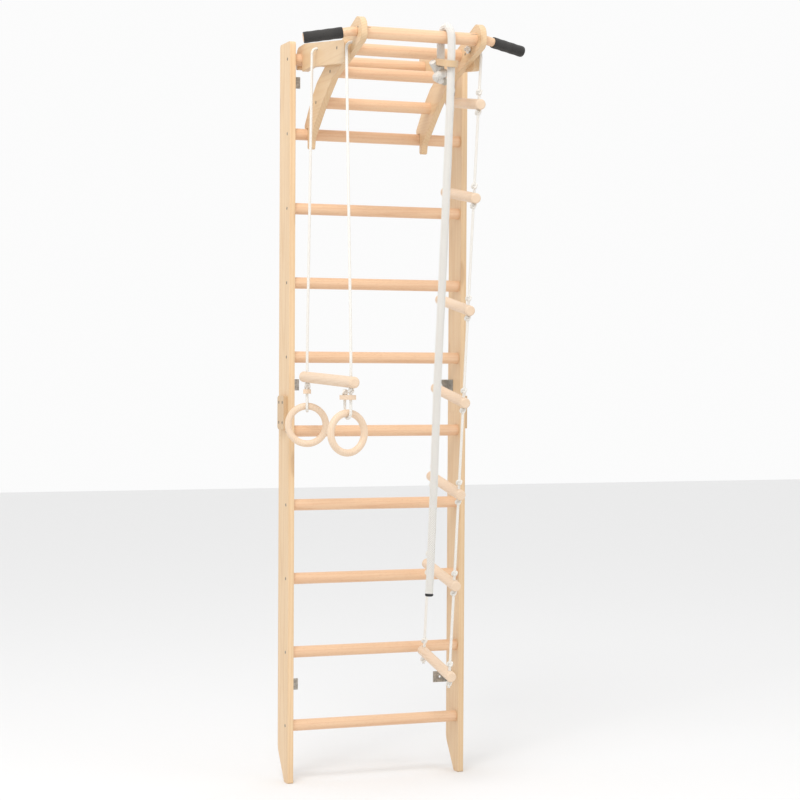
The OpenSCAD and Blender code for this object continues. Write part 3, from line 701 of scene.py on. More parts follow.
@dataclass
class Shape:
    """Points and faces of a piece while it is made.

    Attributes:
        points: The points so far.
        faces: The faces, as point numbers.
        unrolled: A flat position for each corner of each face, or an empty list.
    """

    points: list = field(default_factory=list)
    faces: list = field(default_factory=list)
    unrolled: list = field(default_factory=list)

    def piece(self, name: str, body: str, finish: Finish, slot: str, *nodes: str) -> bpy.types.Object:
        """Make the Blender object, dress it and tie it to its body.

        Args:
            name: Name of the piece.
            body: Body that it rides on.
            finish: Its finish.
            slot: Material slot of the record; not used.
            *nodes: CAD nodes that it stands for.

        Returns:
            The piece.
        """
        mesh = bpy.data.meshes.new(name)
        mesh.from_pydata([tuple(p) for p in self.points], [], self.faces)
        if self.unrolled:
            layer = mesh.uv_layers.new(name="unrolled")
            layer.data.foreach_set("uv", np.asarray(self.unrolled, dtype=np.float32).ravel())
        mesh.shade_smooth()
        mesh.materials.append(finish.material())
        mesh.validate()
        made = bpy.data.objects.new(name, mesh)
        bpy.context.scene.collection.objects.link(made)
        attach(made, body)
        if nodes:
            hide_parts(*nodes)
        LOG.info("%s: %d faces on %s", name, len(self.faces), body)
        return made

    def grid(self, rows: np.ndarray, flat: Optional[np.ndarray] = None, caps: bool = True) -> None:
        """Add a closed tube of point rings.

        Args:
            rows: Rings of points, as ring by point by axis.
            flat: How far along the surface each ring lies, in turns, for the unrolled position.
            caps: Whether the two ends are closed.
        """
        rings, sides, _ = rows.shape
        base = len(self.points)
        self.points.extend(rows.reshape(-1, 3).tolist())
        for i in range(rings - 1):
            for j in range(sides):
                k = (j + 1) % sides
                low, high = base + i * sides, base + (i + 1) * sides
                self.faces.append((low + j, low + k, high + k, high + j))
                if flat is not None:
                    u, w = j / sides, (j + 1) / sides
                    self.unrolled += [(u, flat[i]), (w, flat[i]), (w, flat[i + 1]), (u, flat[i + 1])]
        if caps:
            last = base + (rings - 1) * sides
            self.faces.append(tuple(base + j for j in reversed(range(sides))))
            self.faces.append(tuple(last + j for j in range(sides)))
            if flat is not None:
                self.unrolled += [(0.5, flat[0])] * sides + [(0.5, flat[-1])] * sides

    def sweep(self, path: np.ndarray, radii: Union[float, np.ndarray], sides: int,
              relief: Optional[Callable[[np.ndarray, np.ndarray], np.ndarray]] = None) -> None:
        """Add a round tube along a path.

        Args:
            path: Points of the tube's middle line.
            radii: Radius, or one for each point.
            sides: Points round the tube.
            relief: Height to add, in metres, at positions round and along the tube in turns.
        """
        path = np.asarray(path, dtype=float)
        radii = np.broadcast_to(np.asarray(radii, dtype=float), (len(path),))
        aim = np.gradient(path, axis=0)
        aim /= np.linalg.norm(aim, axis=1)[:, None]
        side = np.cross(aim[0], (0.0, 1.0, 0.0) if abs(aim[0][1]) < 0.9 else (1.0, 0.0, 0.0))
        angle = np.arange(sides) * math.tau / sides
        length = np.concatenate([[0.0], np.cumsum(np.linalg.norm(np.diff(path, axis=0), axis=1))])
        flat = length / (math.tau * float(np.max(radii)))
        rows = np.empty((len(path), sides, 3))
        for i, t in enumerate(aim):
            side = side - t * float(side @ t)
            side /= np.linalg.norm(side)
            other = np.cross(t, side)
            size = np.full(sides, radii[i])
            if relief is not None:
                size = size + relief(np.arange(sides) / sides, np.full(sides, flat[i]))
            spoke = np.cos(angle)[:, None] * side + np.sin(angle)[:, None] * other
            rows[i] = path[i] + size[:, None] * spoke
        self.grid(rows, flat)

    def lathe(self, profile: Sequence[tuple[float, float]], place: Matrix, sides: int = 48) -> None:
        """Add a turned form.

        Args:
            profile: Radius and height along the axis, from one end to the other.
            place: Where the form's own Z axis and origin go.
            sides: Points round the form.
        """
        angle = np.arange(sides) * math.tau / sides
        rows = [
            [tuple(place @ Vector((r * math.cos(a), r * math.sin(a), h))) for a in angle]
            for r, h in profile
        ]
        self.grid(np.asarray(rows))


def smooth_line(points: Sequence[Sequence[float]], step: float) -> np.ndarray:
    """Smooth line through points, with its own points one step apart.

    Args:
        points: Points that the line goes through.
        step: Distance between the line's points.

    Returns:
        The line's points.
    """
    given = np.asarray(points, dtype=float)
    padded = np.vstack([2 * given[0] - given[1], given, 2 * given[-1] - given[-2]])
    line: list[np.ndarray] = []
    for a, b, c, d in zip(padded, padded[1:], padded[2:], padded[3:]):
        spans = [max(float(np.linalg.norm(q - p)) ** 0.5, 1e-6) for p, q in ((a, b), (b, c), (c, d))]
        t0, t1 = 0.0, spans[0]
        t2 = t1 + spans[1]
        t3 = t2 + spans[2]
        count = max(2, int(np.linalg.norm(c - b) / step))
        for t in np.linspace(t1, t2, count, endpoint=False):
            p1 = (t1 - t) / (t1 - t0) * a + (t - t0) / (t1 - t0) * b
            p2 = (t2 - t) / (t2 - t1) * b + (t - t1) / (t2 - t1) * c
            p3 = (t3 - t) / (t3 - t2) * c + (t - t2) / (t3 - t2) * d
            q1 = (t2 - t) / (t2 - t0) * p1 + (t - t0) / (t2 - t0) * p2
            q2 = (t3 - t) / (t3 - t1) * p2 + (t - t1) / (t3 - t1) * p3
            line.append((t2 - t) / (t2 - t1) * q1 + (t - t1) / (t2 - t1) * q2)
    line.append(given[-1])
    return np.asarray(line)


def aimed(place: Sequence[float], direction: Sequence[float]) -> Matrix:
    """Place whose Z axis points along a direction."""
    turn = Vector(direction).to_track_quat("Z", "Y").to_matrix().to_4x4()
    return Matrix.Translation(Vector(place)) @ turn


@dataclass(frozen=True)
class Knot:
    """Size of an overhand knot.

    Attributes:
        width: Width of the whole knot.
        height: Height of the whole knot.
        strand: Radius of the rope in it.
        sides: Points round the rope.
        steps: Steps of the rope's line.
    """

    width: float
    height: float
    strand: float
    sides: int
    steps: int = 96


STOP_KNOT = Knot(0.0255, 0.0145, 0.0042, 14)
TRAPEZE_KNOT = Knot(0.0195, 0.0145, 0.0034, 14)
STEP_KNOT = Knot(0.0205, 0.0165, 0.0034, 12)


@dataclass(frozen=True)
class Screw:
    """Size of a countersunk screw.

    Attributes:
        head: Diameter of the head.
        shank: Diameter of the shank.
        length: Length of the whole screw.
    """

    head: float
    shank: float
    length: float


RUNG_SCREW = Screw(0.010, 0.005, 0.052)
SPLICE_SCREW = Screw(0.010, 0.005, 0.026)
BRACKET_SCREW = Screw(0.008, 0.004, 0.015)
CROSS_RUNG_SCREW = Screw(0.010, 0.005, 0.055)
PLATE_SCREW = Screw(0.008, 0.004, 0.032)
BAR_PIN = Screw(0.006, 0.003, 0.040)


def knot_line(knot: Knot) -> np.ndarray:
    """Middle line of a rope tied in an overhand knot, round the Z axis.

    Args:
        knot: Size of the knot.

    Returns:
        Points of the line, which closes on itself.
    """
    t = np.linspace(0.0, math.tau, knot.steps + 1)
    reach, lift = (knot.width / 2 - knot.strand) / 3, knot.height / 2 - knot.strand
    return np.stack([
        reach * (np.sin(t) + 2 * np.sin(2 * t)),
        reach * (np.cos(t) - 2 * np.cos(2 * t)),
        -lift * np.sin(3 * t),
    ], axis=1)


def tie(shape: Shape, place: Matrix, knot: Knot) -> None:
    """Add an overhand knot to a shape.

    Args:
        shape: Shape that the knot joins.
        place: Where the knot's own Z axis and middle go.
        knot: Size of the knot.
    """
    line = np.asarray([tuple(place @ Vector(p)) for p in knot_line(knot)])
    shape.sweep(line, knot.strand, knot.sides)


def centre(node: str) -> Vector:
    """Middle of a CAD node's box."""
    low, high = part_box(node)
    return (Vector(low) + Vector(high)) / 2


def cad(node: str) -> bpy.types.Object:
    """Blender object of a CAD node."""
    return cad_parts[node]


def finish_node(node: str, finish: Finish) -> None:
    """Give a CAD node its finish in all its material slots."""
    target = cad(node)
    if not target.material_slots:
        target.data.materials.append(None)
    for holder in target.material_slots:
        holder.link = "OBJECT"
        holder.material = finish.material()
    LOG.info("%s finished in %s", node, finish.name)


def turned_screw(shape: Shape, place: Matrix, screw: Screw) -> None:
    """Add a countersunk screw with a cross recess.

    Args:
        shape: Shape that the screw joins.
        place: Middle of the head's face, with Z pointing away from the wood.
        screw: Size of the screw.
    """
    radius, depth, neck = screw.head / 2, 0.13 * screw.head, screw.shank / 2
    sides, lip = 48, 0.0002
    angle = np.arange(sides) * math.tau / sides
    rows = []
    for share in (0.02, 0.1, 0.14, 0.22, 0.3, 0.38, 0.46, 0.52, 0.6, 0.9):
        r = radius * share
        x, y = r * np.cos(angle), r * np.sin(angle)
        inside = (np.minimum(abs(x), abs(y)) < 0.11 * radius) & (share < 0.5)
        rows.append(np.stack([x, y, np.where(inside, -depth * (1.15 - share), 0.0)], axis=1))
    outline = (
        (radius, -lip), (neck, -(radius - neck) - lip), (neck, -screw.length + screw.shank),
        (lip, -screw.length),
    )
    for r, h in outline:
        rows.append(np.stack([r * np.cos(angle), r * np.sin(angle), np.full(sides, h)], axis=1))
    placed = [[tuple(place @ Vector(p)) for p in row] for row in rows]
    shape.grid(np.asarray(placed)[::-1])


# The object's parts ------------------------------------------------------------------------------


@dataclass
class WallBars:
    """The ladder on the wall.

    Attributes:
        rungs: Number of rungs.
        bracket_places: Heights of the bracket screws from the origin.
        bracket_screw_y: Distance of the bracket screws from the wall, as a Y.
        splice_spread: How far a splice screw lies from its block's middle, as shares of the
            block's depth and height.
    """

    rungs: int = 10
    bracket_places: tuple[float, ...] = (-0.905, 0.0, 0.905)
    bracket_screw_y: float = -0.020
    splice_spread: tuple[float, float] = (0.28, 0.3)

    def finish_wood(self) -> None:
        """Dress the uprights, the splice blocks and the rungs."""
        uprights = [f"{side}_upright_{half}" for side in ("left", "right") for half in ("lower", "upper")]
        for seed, node in enumerate(uprights):
            # The right uprights take a darker colour (0.93): painted shade for the shade on their inner
            # faces.
            finish_node(node, board(node, seed + 1, colour_scale=0.93 if node.startswith("right") else 1.0))
        for seed, node in enumerate(("left_splice_block", "right_splice_block")):
            finish_node(node, board(node, seed + 11, colour_scale=0.8))
        for n in range(1, self.rungs + 1):
            finish_node(f"rung_{n}", turned_beech(f"rung_{n}", n + 3, Grain.ALONG_X))
        finish_node("wall_brackets", ZINC)

    def rung_screws(self) -> None:
        """Screws through the uprights into the rungs' ends."""
        shape = Shape()
        for side, node in ((-1, "left_upright_upper"), (1, "right_upright_upper")):
            low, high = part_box(node)
            face = high[0] if side > 0 else low[0]
            for n in range(1, self.rungs + 1):
                middle = centre(f"rung_{n}")
                turned_screw(shape, aimed((face, middle.y, middle.z), (side, 0, 0)), RUNG_SCREW)
        shape.piece("rung_screw_set", "wall_bars", SHADED_SCREW_STEEL, "zinc_screws", "rung_screws")

    def splice_screws(self) -> None:
        """Four screws in each splice block."""
        shape = Shape()
        for side, node in ((-1, "left_splice_block"), (1, "right_splice_block")):
            low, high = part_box(node)
            middle, size = centre(node), Vector(high) - Vector(low)
            face = high[0] if side > 0 else low[0]
            deep, tall = self.splice_spread
            for across in (-deep, deep):
                for up in (-tall, tall):
                    place = (face, middle.y + across * size.y, middle.z + up * size.z)
                    turned_screw(shape, aimed(place, (side, 0, 0)), SPLICE_SCREW)
        shape.piece("splice_screw_set", "wall_bars", SHADED_SCREW_STEEL, "zinc_screws", "splice_screws")

    def bracket_screws(self) -> None:
        """Screws that hold the brackets on the uprights."""
        shape = Shape()
        low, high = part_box("bracket_screws")
        for side, face in ((-1, low[0] + BRACKET_SCREW.length), (1, high[0] - BRACKET_SCREW.length)):
            for height in self.bracket_places:
                place = aimed((face, self.bracket_screw_y, height), (-side, 0, 0))
                turned_screw(shape, place, BRACKET_SCREW)
        shape.piece("bracket_screw_set", "wall_bars", SHADED_SCREW_STEEL, "zinc_screws", "bracket_screws")

    def build(self) -> None:
        """Dress and make everything on the wall."""
        self.finish_wood()
        self.rung_screws()
        self.splice_screws()
        self.bracket_screws()


@dataclass
class PullUpFrame:
    """The frame that hooks over the top rung, with its bar and two handles.

    Attributes:
        bar: Middle line of the bar, as its Y and Z.
        root: Straight length of a handle before its bend.
        bend: Angle of the bend in degrees.
        roll: Turn of the bend's plane about the bar in degrees.
        core: Radius of a handle's wood.
        grip: Radius of a foam grip.
        grip_length: Length of a foam grip.
        grip_start: Distance from the bend's corner to the grip.
        cord: Radius of the thin ropes.
        tops: Hanging point of each thin rope, with -1 for the left side and 1 for the right one.
        standoff: How far a thin rope hangs from the face that it comes out of.
        board: Thickness of an arm.
        rope_tail: How far a rope's end runs on inside its arm.
        knot_back: Distance of a stop knot's middle from the arm's inner face.
        plate_screws: Places of the screws from an arm into its hook plate, as Y and Z.
        pin_offset: How far back and up from the bar's middle line its pin goes in.
    """

    bar: tuple[float, float] = (-0.504, 0.979)
    root: float = 0.014
    bend: float = 17.2
    roll: float = -30.0
    core: float = 0.0125
    grip: float = 0.0155
    grip_length: float = 0.110
    grip_start: float = 0.025
    cord: float = 0.004
    tops: tuple[tuple[Point, int], ...] = (
        ((-0.260, -0.225, 0.9527), -1), ((-0.242, -0.468, 0.9357), -1),
        ((0.183, -0.225, 0.9527), 1), ((0.165, -0.468, 0.9357), 1),
    )
    standoff: float = 0.016
    board: float = 0.018
    rope_tail: float = 0.017
    knot_back: float = 0.0072
    plate_screws: tuple[tuple[float, float], ...] = ((-0.332, 0.933), (-0.432, 0.948))
    pin_offset: float = 0.0115

    def finish_wood(self) -> None:
        """Dress the arms, the hook plates, the cross rungs and the bar."""
        for seed, node in enumerate(("left_arm", "right_arm", "left_hook_plate", "right_hook_plate")):
            finish_node(node, board(node, seed + 21, Grain.ALONG_Y, colour_scale=0.93))
        turned = ("front_cross_rung", "middle_cross_rung", "rear_cross_rung", "pull_up_bar")
        for seed, node in enumerate(turned):
            finish_node(node, turned_beech(node, seed + 14, Grain.ALONG_X))
        finish_node("handle_bolts", ZINC)

    def at_handle(self, side: int) -> Matrix:
        """Place of a handle's root, with X outwards and the bend in the X-Y plane.

        Args:
            side: -1 for the left handle, 1 for the right one.

        Returns:
            The place.
        """
        low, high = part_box("right_arm" if side > 0 else "left_arm")
        face = high[0] if side > 0 else low[0]
        mirror = Matrix.Scale(-1, 4, (1, 0, 0)) if side < 0 else Matrix.Identity(4)
        roll = Matrix.Rotation(math.radians(self.roll), 4, "X")
        return Matrix.Translation((face, *self.bar)) @ mirror @ roll

    def handles(self) -> None:
        """Bent wooden handles with foam grips."""
        turn = math.radians(self.bend)
        aim = Vector((math.cos(turn), math.sin(turn), 0.0))
        for side, word in ((-1, "left"), (1, "right")):
            place = self.at_handle(side)
            corner = Vector((self.root, 0.0, 0.0))
            bend = corner + aim * 0.004 - Vector((0.001, 0.0005, 0.0))
            line = [(0.0, 0.0, 0.0), (0.006, 0.0, 0.0), tuple(bend)]
            line += [tuple(corner + aim * far) for far in (0.012, 0.04, 0.08, self.grip_length + 0.020)]
            path = smooth_line(line, 0.004)
            end = corner + aim * (self.grip_length + 0.026)
            tail = [tuple(Vector(path[-1]).lerp(end, share)) for share in (0.55, 0.85, 1.0, 1.0001)]
            path = np.vstack([path, tail])
            radii = np.full(len(path), self.core)
            radii[-4:] = (self.core, self.core - 0.0004, self.core - 0.0016, self.core * 0.5)
            placed = np.asarray([tuple(place @ Vector(p)) for p in path])
            shape = Shape()
            shape.sweep(placed, radii, 40)
            finish = turned_beech(f"{word}_handle", 30 + side, Grain.ALONG_X)
            shape.piece(f"{word}_handle_wood", "pull_up_frame", finish, "rung_wood", f"{word}_handle")
            self.foam_grip(word, place, corner, aim)

    def foam_grip(self, word: str, place: Matrix, corner: Vector, aim: Vector) -> None:
        """Foam sleeve with soft ends on a handle.

        Args:
            word: left or right.
            place: Place of the handle's root.
            corner: The bend's corner in that place.
            aim: Direction of the grip in that place.
        """
        r, length, inner = self.grip, self.grip_length, self.core - 0.0002
        ripples, lip = 24, 0.0028
        profile = [(inner, 0.0), (r - 0.0016, 0.0), (r - 0.0004, 0.0009), (r, lip)]
        profile += [
            (r + 0.0003 * math.sin(0.9 * k), lip + (length - 2 * lip) * k / ripples)
            for k in range(1, ripples)
        ]
        profile += [(r, length - lip), (r - 0.0004, length - 0.0009), (r - 0.0016, length), (inner, length)]
        spot = aimed(corner + aim * self.grip_start, aim)
        shape = Shape()
        shape.lathe(profile, place @ spot, 56)
        grip = shape.piece(f"{word}_foam_grip", "pull_up_frame", FOAM, "foam", f"{word}_grip")

    def screws(self) -> None:
        """Screws into the cross rungs and the bar, and from the arms into the hook plates."""
        shape = Shape()
        for side, word in ((-1, "left"), (1, "right")):
            arm_low, arm_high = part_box(f"{word}_arm")
            outer, inner = (arm_high[0], arm_low[0]) if side > 0 else (arm_low[0], arm_high[0])
            plate = outer + side * self.board
            for rung, face in (("front", plate), ("middle", outer), ("rear", outer)):
                middle = centre(f"{rung}_cross_rung")
                turned_screw(shape, aimed((face, middle.y, middle.z), (side, 0, 0)), CROSS_RUNG_SCREW)
            for y, z in self.plate_screws:
                turned_screw(shape, aimed((inner, y, z), (-side, 0, 0)), PLATE_SCREW)
            pin = (outer, self.bar[0] - self.pin_offset, self.bar[1] + self.pin_offset)
            turned_screw(shape, aimed(pin, (side, 0, 0)), BAR_PIN)
        shape.piece("frame_screw_set", "pull_up_frame", SHADED_SCREW_STEEL, "zinc_screws", "frame_screws")

    def rope_ends(self) -> None:
        """The bends of the four thin ropes out of their holes, and the knots behind them."""
        bends, knots = Shape(), Shape()
        for top, side in self.tops:
            lift = self.cord + 0.0003
            hole = Vector(top) + Vector((-side * self.standoff, 0.0, self.standoff + lift))
            inside = hole - Vector((side * (self.board + self.rope_tail), 0.0, 0.0))
            arc = [hole + Vector((side * self.standoff * math.sin(a), 0.0, self.standoff * (math.cos(a) - 1)))
                   for a in np.linspace(0.0, math.pi / 2, 9)]
            bends.sweep(smooth_line([tuple(inside), *(tuple(p) for p in arc)], 0.0015), self.cord, 20)
            middle = hole - Vector((side * (self.board + self.knot_back), 0.0, 0.0))
            tie(knots, aimed(middle, (side, 0, 0)), STOP_KNOT)
        bends.piece("rope_bends", "pull_up_frame", CORD, "thin_rope", "hanging_rope_ends")
        knots.piece("stop_knots", "pull_up_frame", CORD, "thin_rope", "hanging_knots")

    def build(self) -> None:
        """Dress and make the whole frame."""
        self.finish_wood()
        self.handles()
        self.screws()
        self.rope_ends()


def swing_start(top: Point, aim: Sequence[float]) -> list[Point]:
    """First points of a free length, from the bend above it down through its hanging point."""
    up = -Vector(aim).normalized()
    return [tuple(Vector(top) + up * 0.0043), top]


@dataclass
class Trapeze:
    """The trapeze bar on its two ropes, with an adjuster and a ring under each end.

    Attributes:
        holes: The bar's two rope holes, with the hanging point and the turn of the ring under each.
        cord: Radius of the ropes.
        loop: Radius of a rope's turn round a ring.
        bar: Radius of the bar.
        adjuster_drop: Distance from the bar down to an adjuster.
        ring_drop: Distance from the bar down to a ring's middle.
        ring_reach: Radius of a ring, to the middle of its wood.
    """

    holes: tuple[tuple[str, Point, Point, float], ...] = (
        ("back", (-0.260, -0.225, 0.9527), (-0.257, -0.183, 0.024), -20.0),
        ("front", (-0.242, -0.468, 0.9357), (-0.257, -0.557, 0.012), 13.0),
    )
    cord: float = 0.004
    loop: float = 0.015
    bar: float = 0.016
    adjuster_drop: float = 0.042
    ring_drop: float = 0.140
    ring_reach: float = 0.055

    def back_from(self, turn: float) -> Vector:
        """Level direction towards the back, across a ring."""
        return Vector((-math.sin(math.radians(turn)), math.cos(math.radians(turn)), 0.0))

    def rope_route(self, top: Point, hole: Point, turn: float) -> list[Point]:
        """Points of a rope: through the bar and an adjuster, round the ring and back up.

        Args:
            top: Hanging point.
            hole: Rope hole in the bar.
            turn: Turn of the ring in degrees.

        Returns:
            The points.
        """
        at, back, down = Vector(hole), self.back_from(turn), Vector((0.0, 0.0, -1.0))
        above = at - 0.060 * down
        points = swing_start(top, above - Vector(top))
        points += [tuple((Vector(top) + above) / 2), tuple(above)]
        points += [tuple(at - 0.020 * down), tuple(at + 0.020 * down)]
        middle = at + self.loop * back + (self.ring_drop - self.ring_reach) * down
        for degrees in range(0, 181, 30):
            angle = math.radians(degrees)
            points.append(tuple(middle - self.loop * (math.cos(angle) * back - math.sin(angle) * down)))
        far = at + 2 * self.loop * back
        return points + [tuple(far + self.adjuster_drop * down), tuple(far + 0.0195 * down)]

    def ropes(self) -> None:
        """The two ropes and their knots."""
        for word, top, hole, turn in self.holes:
            under = Vector(hole) - Vector((0, 0, self.bar + 0.0077))
            behind = 2 * self.loop * self.back_from(turn)
            over = Vector(hole) + behind - Vector((0, 0, self.adjuster_drop - 0.0136))
            knots = Shape()
            for spot in (under, over):
                tie(knots, aimed(spot, (0, 0, 1)), TRAPEZE_KNOT)
            tied = knots.piece(f"{word}_trapeze_rope_knots", "trapeze", CORD, "thin_rope", "trapeze_knots")
            path = smooth_line(self.rope_route(top, hole, turn), 0.003)
            shape = Shape()
            shape.sweep(path, self.cord, 20)
            rope = shape.piece(f"{word}_trapeze_cord", "trapeze", CORD, "thin_rope", f"{word}_trapeze_rope")

    def build(self) -> None:
        """Dress and make the trapeze and its rings."""
        finish_node("trapeze_bar", turned_birch("trapeze_bar", 41, Grain.ALONG_Y))
        for seed, word in enumerate(("back", "front")):
            finish_node(f"{word}_adjuster", turned_birch(f"{word}_adjuster", 43 + seed, Grain.ALONG_Y))
            finish_node(f"{word}_ring", turned_birch(f"{word}_ring", 46 + seed, Grain.ALONG_Z))
        self.ropes()


@dataclass
class ClimbingRope:
    """The thick rope in a loop over the bar, with its plate, knot and end cap.

    Attributes:
        bar: Middle line of the bar, as its Y and Z.
        rope: Radius of the rope.
        strap: Radius of the loop over the bar.
        back_x: Place of the back strand along the bar.
        front_x: Place of the front strand along the bar.
        knot_drop: Distance from the bar down to the knot.
        knot_size: Width and height of the knot.
        end_height: Height of the lower end from the origin.
        points: Listed points of the free length, as [x, distance behind the front strand, height
        above the bar].
        end_x: Place of the lower end along the bar.
        end_back: Distance of the lower end behind the front strand.
        strand: Radius of the rope where the knot squeezes it.
    """

    bar: tuple[float, float] = (-0.504, 0.979)
    rope: float = 0.011
    strap: float = 0.029
    back_x: float = 0.038
    front_x: float = 0.046
    knot_drop: float = 0.0763
    knot_size: tuple[float, float] = (0.046, 0.054)
    end_height: float = -0.589
    points: tuple[Point, ...] = (
        (0.0460, 0.000, -0.060), (0.0450, 0.001, -0.130), (0.0445, 0.004, -0.200), (0.0430, 0.008, -0.270),
        (0.0425, 0.012, -0.340), (0.0410, 0.016, -0.410), (0.0400, 0.020, -0.480), (0.0390, 0.025, -0.550),
        (0.0380, 0.030, -0.620), (0.0370, 0.035, -0.690), (0.0355, 0.039, -0.760), (0.0340, 0.043, -0.830),
        (0.0325, 0.047, -0.900), (0.0310, 0.051, -0.970), (0.0300, 0.054, -1.040), (0.0290, 0.057, -1.110),
        (0.0280, 0.060, -1.180), (0.0270, 0.062, -1.250), (0.0250, 0.064, -1.320), (0.0230, 0.065, -1.390),
        (0.0205, 0.066, -1.460), (0.0180, 0.067, -1.530),
    )
    end_x: float = 0.016
    end_back: float = 0.067
    strand: float = 0.0105

    def route(self) -> list[Point]:
        """Points of the rope, from the knot over the bar to the lower end.

        Returns:
            The points.
        """
        y, z = self.bar
        points = [(self.back_x, y + self.strap, z - self.knot_drop), (self.back_x, y + self.strap, z - 0.030)]
        for degrees in np.arange(0.0, 181.0, 22.5):
            angle = math.radians(degrees)
            x = self.back_x + (self.front_x - self.back_x) * degrees / 180
            points.append((x, y + self.strap * math.cos(angle), z + self.strap * math.sin(angle)))
        points += [(x, y - self.strap + back, z + up) for x, back, up in self.points]
        return points + [(self.end_x, y - self.strap + self.end_back, self.end_height)]

    def relief(self, turn: np.ndarray, along: np.ndarray) -> np.ndarray:
        """Height of the braid's strands on the rope's surface.

        Args:
            turn: Positions round the rope, in turns.
            along: Positions along it, in turns.

        Returns:
            Heights in metres.
        """
        strands = Braid.THICK.value
        lanes = (turn * strands + along * strands, turn * strands - along * strands)
        heights = [1 - np.abs(2 * (lane % 1) - 1) ** 2.4 for lane in lanes]
        over = (np.floor(lanes[0]) + np.floor(lanes[1])) % 2
        return 0.0012 * (heights[0] * over + heights[1] * (1 - over)) - 0.0009

    def build(self) -> None:
        """Make the rope and what is on it."""
        # The rope plate takes a darker colour (0.8): painted shade for the shadow that it hangs in.
        finish_node("rope_plate", board("rope_plate", 51, Grain.ALONG_Y, colour_scale=0.8))
        path = smooth_line(self.route(), 0.0014)
        shape = Shape()
        shape.sweep(path, self.rope, 72, self.relief)
        rope = shape.piece("thick_climbing_rope", "climbing_rope", THICK_ROPE, "thick_rope", "climbing_rope")
        y, z = self.bar
        width, height = self.knot_size
        strand, turn = self.strand, np.linspace(-0.15, 1.35, 60)
        wrap = np.stack([
            (width / 2 - strand) * np.cos(math.tau * turn),
            (width / 2 - strand) * np.sin(math.tau * turn),
            (turn - 0.6) * 0.023,
        ], axis=1)
        middle = np.array([self.back_x, y + self.strap, z - self.knot_drop - height / 2])
        tail = wrap[-1] + np.array([
            [-0.008, -0.006, 0.009], [-0.017, -0.012, 0.018], [-0.019, -0.0135, 0.0205],
        ])
        core = np.array([
            [0, 0, height / 2 - 0.002], [0, 0, 0.010], [0.002, 0, -0.010], [0.006, 0.001, -0.018],
        ])
        tied = Shape()
        tied.sweep(middle + smooth_line(core, 0.002), strand, 40, self.relief)
        tied.sweep(middle + smooth_line(np.vstack([wrap, tail]), 0.002), strand, 40, self.relief)
        knot = tied.piece("thick_rope_knot", "climbing_rope", THICK_ROPE, "thick_rope", "rope_knot")
        low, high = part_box("rope_end_cap")
        cap_height, r = high[2] - low[2], (high[0] - low[0]) / 2
        turned = Shape()
        profile = [
            (0.0005, 0.0), (r - 0.004, 0.0), (r - 0.002, 0.0006), (r - 0.0005, 0.0022), (r, 0.004),
            (r, cap_height - 0.002), (r - 0.0003, cap_height - 0.0008), (r - 0.0012, cap_height),
            (0.0005, cap_height),
        ]
        spot = centre("rope_end_cap")
        turned.lathe(profile, Matrix.Translation((spot.x, spot.y, low[2])), 56)
        cap = turned.piece("rope_end_sleeve", "climbing_rope", RUBBER, "black_rubber", "rope_end_cap")


@dataclass
class RopeLadder:
    """The rope ladder on the right.

    Attributes:
        back_top: Hanging point of the back rope.
        front_top: Hanging point of the front rope.
        aim: Direction of both ropes, with a drop of 1.
        first_drop: Drop of the first rung's back rope hole.
        pitch: Drop from one rung to the next.
        slack: Extra drop between the second and the third rung.
        steps: Number of rungs.
        front_extra: How much further each front rope hole drops.
        knot_at: Distance from a rung's middle line down to the knot that carries it.
        knot_slack: How much further off the knot over a rung is.
        cord: Radius of the ropes.
        tail: Length of rope under the lowest knot's middle.
    """

    back_top: Point = (0.183, -0.225, 0.9527)
    front_top: Point = (0.165, -0.468, 0.9357)
    aim: Point = (-0.0262, 0.0525, -1.0)
    first_drop: float = 0.113
    pitch: float = 0.265
    slack: float = 0.055
    steps: int = 7
    front_extra: float = 0.019
    knot_at: float = 0.0229
    knot_slack: float = 0.011
    cord: float = 0.004
    tail: float = 0.013

    def drop(self, n: int) -> float:
        """Drop of a rung's back rope hole."""
        return self.first_drop + (n - 1) * self.pitch + (self.slack if n > 2 else 0.0)

    def build(self) -> None:
        """Dress the rungs, and make the ropes and the knots."""
        for n in range(1, self.steps + 1):
            finish_node(f"step_{n}", turned_birch(f"step_{n}", 60 + n, Grain.ALONG_Y))
        aim = Vector(self.aim)
        for word, top, extra in (("back", self.back_top, 0.0), ("front", self.front_top, self.front_extra)):
            knots = Shape()
            for n in range(1, self.steps + 1):
                hole = Vector(top) + (self.drop(n) + extra) * aim
                for far in (-self.knot_at - self.knot_slack, self.knot_at):
                    tie(knots, aimed(hole + far * aim.normalized(), aim), STEP_KNOT)
            tied = knots.piece(f"{word}_ladder_rope_knots", "rope_ladder", CORD, "thin_rope", "ladder_knots")
            end = self.drop(self.steps) + self.knot_at + self.tail + extra
            drops = np.linspace(0.0, end, 9).tolist()[1:]
            points = swing_start(top, aim) + [tuple(Vector(top) + far * aim) for far in drops]
            path = smooth_line(points, 0.004)
            shape = Shape()
            shape.sweep(path, self.cord, 20)
            rope = shape.piece(f"{word}_ladder_cord", "rope_ladder", CORD, "thin_rope", f"{word}_ladder_rope")


